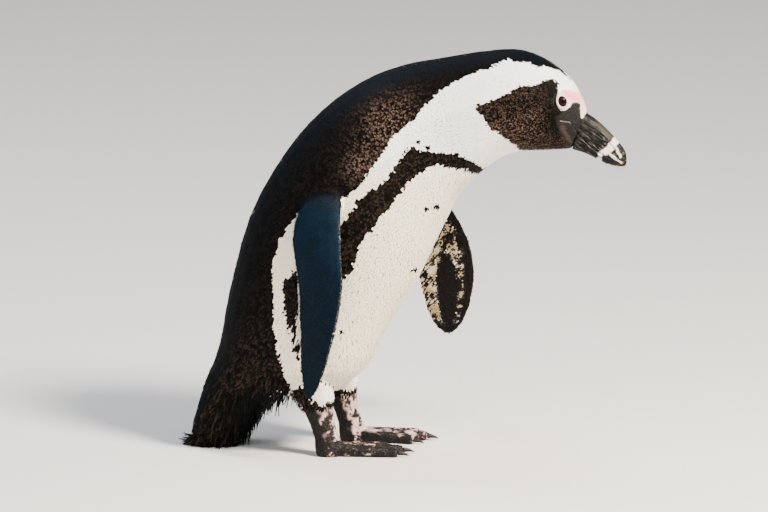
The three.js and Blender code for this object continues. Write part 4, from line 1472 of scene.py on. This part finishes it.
# %% Contour feathers: stiff keratin vanes, matt with a faint silky sheen
BARB_SIZE = 0.55  # mm; real barbs stand 0.2 mm apart, drawn coarser so that they show
feather_finish, feather_tree, feather_shader = new_material(
    "penguin contour feathers", Roughness=0.66, Specular_IOR_Level=0.05)
vane = add(feather_tree, "ShaderNodeAttribute", attribute_name="vane").outputs["Fac"]
tone = add(feather_tree, "ShaderNodeAttribute", attribute_name="tone").outputs["Fac"]
light_tip = add(feather_tree, "ShaderNodeMath", {0: vane, 1: tone}, operation="MULTIPLY")
coat_colours = add(feather_tree, "ShaderNodeGroup", {"Lightness": light_tip.outputs[0]},
                   node_tree=plumage_colours)
feather_tree.links.new(coat_colours.outputs["Colour"], feather_shader.inputs["Base Color"])
feather_place = add(feather_tree, "ShaderNodeTexCoord").outputs["Object"]
barbs = add(feather_tree, "ShaderNodeTexNoise", {"Vector": feather_place,
                                                 "Scale": 1 / (BARB_SIZE * MM), "Detail": 2.0})
barb_bump = add(feather_tree, "ShaderNodeBump", {"Height": barbs.outputs["Fac"], "Strength": 0.12,
                                                 "Distance": 0.0003})
feather_tree.links.new(barb_bump.outputs["Normal"], feather_shader.inputs["Normal"])
print("nodes in the feathers' finish:", len(feather_tree.nodes))

# %% [markdown]
# ## The whole coat
#
# The coat is divided into pieces from the bill to the tail, with the flippers and legs apart. The
# feathers grow from under 3 mm on the face to 15 mm on the rump, and are smallest and densest on
# the head and the flippers. None grow on bare skin or on the rings round the eyes.

# %% Where feathers grow
EYE_CLEAR = (8.8, 9.3)  # mm from the middle of the eye over which the feathers begin
feathered = 1 - share(skin_marks[:, 1], 0.35, 0.65)
mirrored = skin_points.copy()
mirrored[:, 1] = np.abs(mirrored[:, 1])
feathered = feathered * share(np.linalg.norm(mirrored - EYE_AT, axis=1), *EYE_CLEAR)
is_leg = part_is["leg_right"] | part_is["leg_left"]
is_foot = part_is["foot_right"] | part_is["foot_left"]
is_flipper = part_is["flipper_right"] | part_is["flipper_left"]
is_torso = ~(is_leg | is_foot | is_flipper)
print("share of the skin that grows feathers:", round(float(feathered.mean()), 2))

# %% Sizes from bill to tail
STATIONS = [0, 0.1, 0.22, 0.42, 0.6, 0.8, 1]  # places along the spine, bill to tail
LENGTHS = [2.8, 3.6, 5.0, 8.0, 9.5, 12, 15]  # mm, at the stations
WIDTHS = [1.15, 1.4, 1.75, 2.6, 2.9, 2.2, 1.9]
OVERLAP = 0.004  # by which a stretch reaches over the one before it
SWING = 0.09  # radians by which feathers stray from the flow
COAT = []  # name, where, spacing, length, width and thickness, mm
for name, low, high, spacing, thickness in (
        ("head", -1, 0.22, 1.0, 0.1), ("neck", 0.22 - OVERLAP, 0.42, 1.3, 0.09),
        ("chest", 0.42 - OVERLAP, 0.62, 1.6, 0.08), ("belly", 0.62 - OVERLAP, 0.8, 1.6, 0.08),
        ("rump", 0.8 - OVERLAP, 1.01, 1.6, 0.16)):
    here = is_torso & (skin_place >= low) & (skin_place < high)
    COAT.append((name, here, spacing, LENGTHS, WIDTHS, thickness))
for limb, sizes in (("flipper", (1.15, 2.7, 1.5, 0.08)), ("leg", (1.4, 6.0, 1.7, 0.16))):
    for side in ("right", "left"):
        COAT.append((limb + "_" + side, part_is[limb + "_" + side], *sizes))


def size_at(roots, size):
    """A size for each feather: one number, or sizes at the stations along the spine."""
    if isinstance(size, list):
        return np.interp(on_spine(roots["at"])[0], STATIONS, size)
    return size


print("coat pieces:", len(COAT))

# %% Sow and lay the coat piece by piece
for seed, (name, where, spacing, length, width, thickness) in enumerate(COAT):
    roots = sow(feathered * where, spacing, seed + 11)
    lay("feathers_" + name, roots, BROAD_LEAF, size_at(roots, length), size_at(roots, width),
        thickness, lift=1.0, stray=SWING, seed=seed + 31)

# %% [markdown]
# ## Tail quills and ragged fringes
#
# The tail is a short brush of stiff quills that rests on the ground, and loose tufts hang from
# under it. They are the same kind of leaf, long and narrow, so they are laid the same way, only
# with headings of their own: the quills turn level where they meet the floor, and the tufts hang.

# %% Tail quills
QUILLS_FROM, TUFTS_FROM = 0.86, 0.78  # places along the spine
QUILL_LENGTH, TUFT_LENGTH, FRINGE_LENGTH = 22.0, 20, 6.5  # mm
QUILL_LEVEL = np.array([-0.2, 0, 0.35])  # what turns the quills level near the floor
quills = sow(feathered * (is_torso & (skin_place > QUILLS_FROM)), spacing=2.6, seed=71)
level_off = share(22 - quills["at"][:, 2], 0, 16)[:, None]
quill_way = into_surface(quills["flow"], quills["facing"])
quill_way = unit(quill_way + level_off * QUILL_LEVEL + 0.05 * quills["facing"])
lay("tail_quills", quills, NARROW_LEAF, QUILL_LENGTH, width=2.2, thickness=0.4, lift=1.15,
    stray=0.12, seed=72, heading=quill_way)

# %% Tufts under the tail
under_tail = is_torso & (skin_place > TUFTS_FROM) & (skin_normals[:, 0] > -0.1)
under_tail &= skin_points[:, 0] < -50
tufts = sow(feathered * under_tail, spacing=2.6, seed=73)
tuft_sway = [ripple(tufts["at"], 9, 12), ripple(tufts["at"], 9, 13), 0 * tufts["depth"]]
tuft_way = unit(np.array([-0.28, 0, -1.0]) + 0.22 * np.stack(tuft_sway, 1))
tuft_length = TUFT_LENGTH * (0.85 + 0.9 * ripple(tufts["at"], 7, 14))
lay("undertail_tufts", tufts, NARROW_LEAF, tuft_length, width=1.8, thickness=0.5, lift=1.0,
    stray=0.16, seed=74, heading=tuft_way)

# %% Fringes over the creases of the thighs
HIP = (-26, 38, 66)  # the middle of the crease where a leg leaves the trunk
leg_top = (is_leg | is_torso) & (np.abs(skin_points[:, 2] - HIP[2]) < 20) & (skin_points[:, 0] > -58)
leg_top &= np.hypot(skin_points[:, 0] - HIP[0], np.abs(skin_points[:, 1]) - HIP[1]) < 30
fringe = sow(feathered * leg_top, spacing=1.7, seed=75)
fringe_way = unit(np.array([-0.1, 0, -1.0]) + 0.12 * fringe["facing"])
lay("leg_fringes", fringe, BROAD_LEAF, FRINGE_LENGTH, width=1.5, thickness=0.2, lift=1.0,
    stray=0.14, seed=76, heading=fringe_way)

# %% [markdown]
# ## Eyes
#
# The eye is glossy and almost black: a dark brown iris round a black pupil under a wet cornea.
# A sphere of the real size sits in the window of each eyelid ring, so that the lids cover its edge.
# Each vertex knows its angle from the middle of the pupil, and a colour ramp reads it.

# %% Wet cornea over a dark iris: a small sharp highlight and hardly any colour
PUPIL_ANGLE, IRIS_ANGLE = 18, 42  # degrees from the middle of the pupil
FIBRE_SIZE = 0.5  # mm

eye_wet, eye_tree, eye_shader = new_material(
    "wet dark eye", Roughness=0.25, IOR=1.376, Specular_IOR_Level=0.1)
angle_read = add(eye_tree, "ShaderNodeAttribute", attribute_name="pupil_angle").outputs["Fac"]
rings = add(eye_tree, "ShaderNodeValToRGB", {"Fac": angle_read})
rings.color_ramp.elements[0].position = PUPIL_ANGLE / 90 - 0.02
rings.color_ramp.elements[0].color = paint("#0a0404")
rings.color_ramp.elements[1].position = IRIS_ANGLE / 90
rings.color_ramp.elements[1].color = paint("#120606")
iris = rings.color_ramp.elements.new(PUPIL_ANGLE / 90 + 0.02)
iris.color = paint("#240a0a")
eye_place = add(eye_tree, "ShaderNodeTexCoord").outputs["Object"]
fibres = add(eye_tree, "ShaderNodeTexNoise", {"Vector": eye_place, "Scale": 1 / (FIBRE_SIZE * MM)})
flecked = add(eye_tree, "ShaderNodeMix", {0: 0.25, 6: rings.outputs["Color"],
                                          7: fibres.outputs["Color"]}, data_type="RGBA",
              blend_type="MULTIPLY")
eye_tree.links.new(flecked.outputs[2], eye_shader.inputs["Base Color"])
print("rings of the eye:", len(rings.color_ramp.elements))

# %% Eyeballs


def eyeball(name, side):
    """A ball that looks out of one eyelid ring, with the angle of every vertex from its pupil."""
    shape = bmesh.new()
    bmesh.ops.create_uvsphere(shape, u_segments=48, v_segments=32, radius=EYE_RADIUS * MM)
    angles = [math.acos(max(-1, min(1, vert.co.normalized().z))) for vert in shape.verts]
    looks = Vector(eye_frame(side)[0])
    turn = Vector((0, 0, 1)).rotation_difference(looks).to_matrix()
    bmesh.ops.rotate(shape, verts=shape.verts, cent=(0, 0, 0), matrix=turn)
    bmesh.ops.translate(shape, verts=shape.verts, vec=Vector(to_place(EYE_AT * (1, side, 1))))
    mesh = bpy.data.meshes.new(name)
    shape.to_mesh(mesh)
    shape.free()
    shade_smooth(mesh)
    give(mesh, "pupil_angle", "FLOAT", np.degrees(angles) / 90)
    mesh.materials.append(eye_wet)
    ball = new_object(name, mesh)
    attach(ball, "root")
    print(name, "faces", len(mesh.polygons))
    return ball


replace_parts(eyeball("eyeball_left", 1), "eye_left")
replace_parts(eyeball("eyeball_right", -1), "eye_right")

# %% [markdown]
# ## The bill
#
# The bill is horn: a thin hard sheath that grows in plates over bone. The upper half has a rounded
# ridge, a slit of a nostril in a long groove, and a hook; the lower half is two bars that meet at
# a blunt tip. Both halves are melted again from the solids at a much finer grain, and grooves are
# pressed in along lines drawn in the plan. A pale bar crosses both halves before the dark tip.

# %% Press the grooves into the horn
BILL_VOXEL = 0.5  # mm
ROOT_PUSH, ROOT_DRAW = 3.0, 0.5  # mm by which the root goes into the face and draws in
NOSTRIL_DEPTH = 1.2  # mm
NOSTRIL = [(240.6, 315.6), (245.4, 311.4)]
UPPER_GROOVES = [  # a line in x and z, its depth and its half width
    ([(229.5, 324.5), (240, 318.6), (250.5, 309.6), (258.5, 300.5)], 0.4, 0.45),
    ([(228, 320), (238, 313.6), (247, 305.5)], 0.35, 0.4),
    ([(231, 317.5), (240, 310.0), (244, 306.0)], 0.3, 0.4),
    ([(252, 316.2), (260, 307.5), (264.6, 298.2)], 0.35, 0.4),
    ([(225, 317.8), (236, 304.8), (249.5, 296.6), (260, 292.0)], -0.3, 0.8),
    (NOSTRIL, NOSTRIL_DEPTH, 0.6),
]
LOWER_GROOVES = [
    ([(221, 307.5), (232, 299.5), (243, 293.2), (256, 288.6)], 0.45, 0.5),
    ([(219, 303.5), (230, 297.2), (241, 291.6)], 0.25, 0.4),
]


def melted_horn(name, source, grooves):
    """A fine copy of half of the bill, its grooves pressed in and its root pushed into the face."""
    half = melted_copy([source], name, BILL_VOXEL, 0.02)
    edges = edges_of(half.data)
    points = spread(places_of(half.data), edges, 14, 0.5)
    move_to(half.data, points)
    normals = normals_of(half.data)
    on_side = np.abs(normals[:, 1]) > 0.2
    flat = points[:, [0, 2]]
    press = np.zeros(len(points))
    for line, depth, width in grooves:
        press += depth * np.exp(-(away_from(flat, line) / width) ** 2) * on_side
    rough = 0.05 * ripple(points, 1.6, 21) + 0.06 * ripple(points * (0.25, 1, 0.25), 1.1, 22)
    points = points - normals * (press + rough)[:, None]
    along = (points - BILL_ROOT) @ BILL_AXIS
    points = points - (share(2.4 - along, 0, 2.4) * ROOT_PUSH)[:, None] * BILL_AXIS
    points = points - (share(2.6 - along, 0, 2.6) * ROOT_DRAW)[:, None] * normals
    move_to(half.data, points)
    shade_smooth(half.data)
    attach(half, "root")
    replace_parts(half, source)
    print(name, "triangles about", 2 * len(half.data.polygons))
    return half, points, press


bill_top, top_points, top_press = melted_horn("bill_upper_horn", "bill_upper", UPPER_GROOVES)
bill_low, low_points, low_press = melted_horn("bill_lower_horn", "bill_lower", LOWER_GROOVES)

# %% [markdown]
# ## The colours of the horn
#
# Horn grows in thin layers that wear through, so a penguin's bill is black with grey streaks along
# its growth, and one pale bar crosses both halves before the tip. An olive line along the ridge is a
# painted highlight, and the grooves are painted darker by their depth, which is painted shade. The
# bar and the patches are short lines in x and z with a half width, and one attribute carries four
# shares to the material, which lays one colour over the other.

# %% Bars and patches of the bill
RIDGE = [(228, 334), (243.5, 324), (256.5, 311), (266, 299), (267.6, 287.5)]
TOP_BAR = [(259.5, 311.0), (252.5, 301.5), (246.0, 296.5)]
TOP_STREAKS = [([(257, 305), (263, 294)], 1.3), ([(250, 299.5), (263, 287.5)], 1.2)]
LOW_BAR = [(245.0, 296.5), (240.5, 288.0)]
LOW_PATCH = [(247.5, 293.0), (257.5, 289.2)]
BASE_PATCH = [(233.0, 300.5), (239.5, 295.5)]
LOW_TIP = [(251, 284.5), (257, 283), (263.5, 282.5)]


def horn_marks(points, press, upper):
    """Pale, painted olive highlight of the ridge and blue black, each 0 to 1, and how dark: painted
    shade by groove depth, and a darker root.
    """
    flat = points[:, [0, 2]] + 0.9 * np.stack([ripple(points, 3.5, seed) for seed in (31, 32)], 1)
    # painted highlight: an olive line along the ridge
    ridge_highlight = share(2.6 - away_from(flat, RIDGE), -1.4, 1.4) * share(258 - flat[:, 0], -3, 6)
    ridge_highlight = ridge_highlight * (0.35 + 0.65 * share(flat[:, 0], 233, 243))
    if upper:
        pale = share(3.5 - away_from(flat, TOP_BAR), -0.8, 1.2)
        for line, width in TOP_STREAKS:
            pale = np.maximum(pale, 0.85 * share(width - away_from(flat, line), -0.5, 0.6))
        blue = np.zeros(len(points))
    else:
        pale = share(2.9 - away_from(flat, LOW_BAR), -0.8, 0.9)
        pale = np.maximum(pale, 0.8 * share(2.0 - away_from(flat, LOW_TIP), -0.7, 0.7))
        blue = share(2.9 - away_from(flat, LOW_PATCH), -0.6, 0.6)
        blue = np.maximum(blue, share(2.4 - away_from(flat, BASE_PATCH), -0.8, 0.8))
        ridge_highlight *= 0
    root = 0.6 * share(14 - (points - BILL_ROOT) @ BILL_AXIS + 3 * ripple(points, 5, 33), 0, 12)
    # painted shade: the fourth share darkens the grooves by their depth, and the horn grows darker
    # towards the root
    return np.stack([pale * (1 - blue), ridge_highlight, blue, np.clip(press * 2 + root, 0, 1)], 1)


give(bill_top.data, "horn", "FLOAT_COLOR", horn_marks(top_points, top_press, True))
give(bill_low.data, "horn", "FLOAT_COLOR", horn_marks(low_points, low_press, False))
print("vertices of the bill that know their horn:", len(top_points) + len(low_points))

# %% Keratin of the bill: layered horn, satin, streaked along its growth
horn_finish, horn_tree, horn_shader = new_material(
    "layered keratin, bill", Roughness=0.45, IOR=1.55, Specular_IOR_Level=0.07)
HORN_DARK, HORN_GREY, HORN_VEIL = "#080807", "#5c564f", "#453d36"
HORN_OLIVE, HORN_PALE, HORN_BLUE = "#302e26", "#d6c6bb", "#070c16"
STREAK_WIDTH = 0.5  # mm
BILL_DROP = 37  # degrees from level down to the way the bill points
horn_read = add(horn_tree, "ShaderNodeAttribute", attribute_name="horn")
horn_parts = add(horn_tree, "ShaderNodeSeparateColor", {"Color": horn_read.outputs["Color"]})
horn_place = add(horn_tree, "ShaderNodeTexCoord").outputs["Object"]
turned = add(horn_tree, "ShaderNodeMapping", {"Vector": horn_place,
                                              "Rotation": (0, -math.radians(BILL_DROP), 0)})
stretched = add(horn_tree, "ShaderNodeMapping", {"Vector": turned.outputs["Vector"],
                                                 "Scale": (0.12, 1.0, 1.0)})
streaks = add(horn_tree, "ShaderNodeTexNoise", {"Vector": stretched.outputs["Vector"],
                                                "Scale": 1 / (STREAK_WIDTH * 2 * MM),
                                                "Detail": 3.0, "Roughness": 0.65})
streak_share = add(horn_tree, "ShaderNodeMapRange", {"Value": streaks.outputs["Fac"],
                                                     "From Min": 0.47, "From Max": 0.74},
                   interpolation_type="SMOOTHSTEP")


# %% Layers of horn over each other
horn_layers = [  # what covers what, and how much of it shows
    # the green share is the painted olive highlight along the ridge
    (streak_share.outputs["Result"], HORN_GREY), (horn_parts.outputs["Green"], HORN_OLIVE),
    (horn_parts.outputs["Blue"], HORN_BLUE), (horn_parts.outputs["Red"], HORN_PALE),
    (add(horn_tree, "ShaderNodeMath", {0: streak_share.outputs["Result"], 1: 0.3},
         operation="MULTIPLY").outputs[0], HORN_VEIL),
    # painted shade in the grooves, and the darker root
    (horn_read.outputs["Alpha"], HORN_DARK),
]
horn_colour = paint(HORN_DARK)
for factor, tone in horn_layers:
    horn_colour = add(horn_tree, "ShaderNodeMix", {0: factor, 6: horn_colour, 7: paint(tone)},
                      data_type="RGBA").outputs[2]
horn_tree.links.new(horn_colour, horn_shader.inputs["Base Color"])
horn_bump = add(horn_tree, "ShaderNodeBump", {"Height": streaks.outputs["Fac"], "Strength": 0.45,
                                              "Distance": 0.0004})
horn_tree.links.new(horn_bump.outputs["Normal"], horn_shader.inputs["Normal"])
for half in (bill_top, bill_low):
    half.data.materials.clear()
    half.data.materials.append(horn_finish)
print("layers of horn:", len(horn_layers))

# %% [markdown]
# ## Claws
#
# The claws are the same horn, nearly black, with a satin shine and a few paler worn spots. Each is
# a copy of its solid, merged and subdivided so that its curve is smooth.

# %% Black keratin: satin, with worn brown spots
CLAW_GRAIN = 1.2  # mm
claw_finish, claw_tree, claw_shader = new_material(
    "black keratin, claws", Roughness=0.45, IOR=1.55, Specular_IOR_Level=0.2)
claw_place = add(claw_tree, "ShaderNodeTexCoord").outputs["Object"]
claw_grain = add(claw_tree, "ShaderNodeTexNoise", {"Vector": claw_place, "Detail": 4.0,
                                                   "Scale": 1 / (CLAW_GRAIN * MM)})
claw_tone = add(claw_tree, "ShaderNodeValToRGB", {"Fac": claw_grain.outputs["Fac"]})
claw_tone.color_ramp.elements[0].position = 0.42
claw_tone.color_ramp.elements[0].color = paint("#151211")
claw_tone.color_ramp.elements[1].position = 0.78
claw_tone.color_ramp.elements[1].color = paint("#332c27")
claw_tree.links.new(claw_tone.outputs["Color"], claw_shader.inputs["Base Color"])
claw_bump = add(claw_tree, "ShaderNodeBump", {"Height": claw_grain.outputs["Fac"],
                                              "Strength": 0.3, "Distance": 0.0002})
claw_tree.links.new(claw_bump.outputs["Normal"], claw_shader.inputs["Normal"])
print("nodes in the claws' finish:", len(claw_tree.nodes))

# %% Claws


def rounded_claw(source):
    """A smooth claw in place of its faceted solid."""
    shape = bmesh.new()
    shape.from_mesh(CAD[source].data)
    bmesh.ops.remove_doubles(shape, verts=shape.verts, dist=1e-6)
    bmesh.ops.join_triangles(shape, faces=shape.faces, angle_face_threshold=0.7,
                             angle_shape_threshold=0.7)
    mesh = bpy.data.meshes.new(source + "_horn")
    shape.to_mesh(mesh)
    shape.free()
    thing = new_object(source + "_horn", mesh)
    rounding = thing.modifiers.new("rounding", "SUBSURF")
    rounding.levels = rounding.render_levels = 2
    mesh.materials.append(claw_finish)
    shade_smooth(mesh)
    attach(thing, "root")
    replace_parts(thing, source)


claws = [name for name in CAD if name.startswith("claw")]
for name in claws:
    rounded_claw(name)
print("claws:", len(claws))
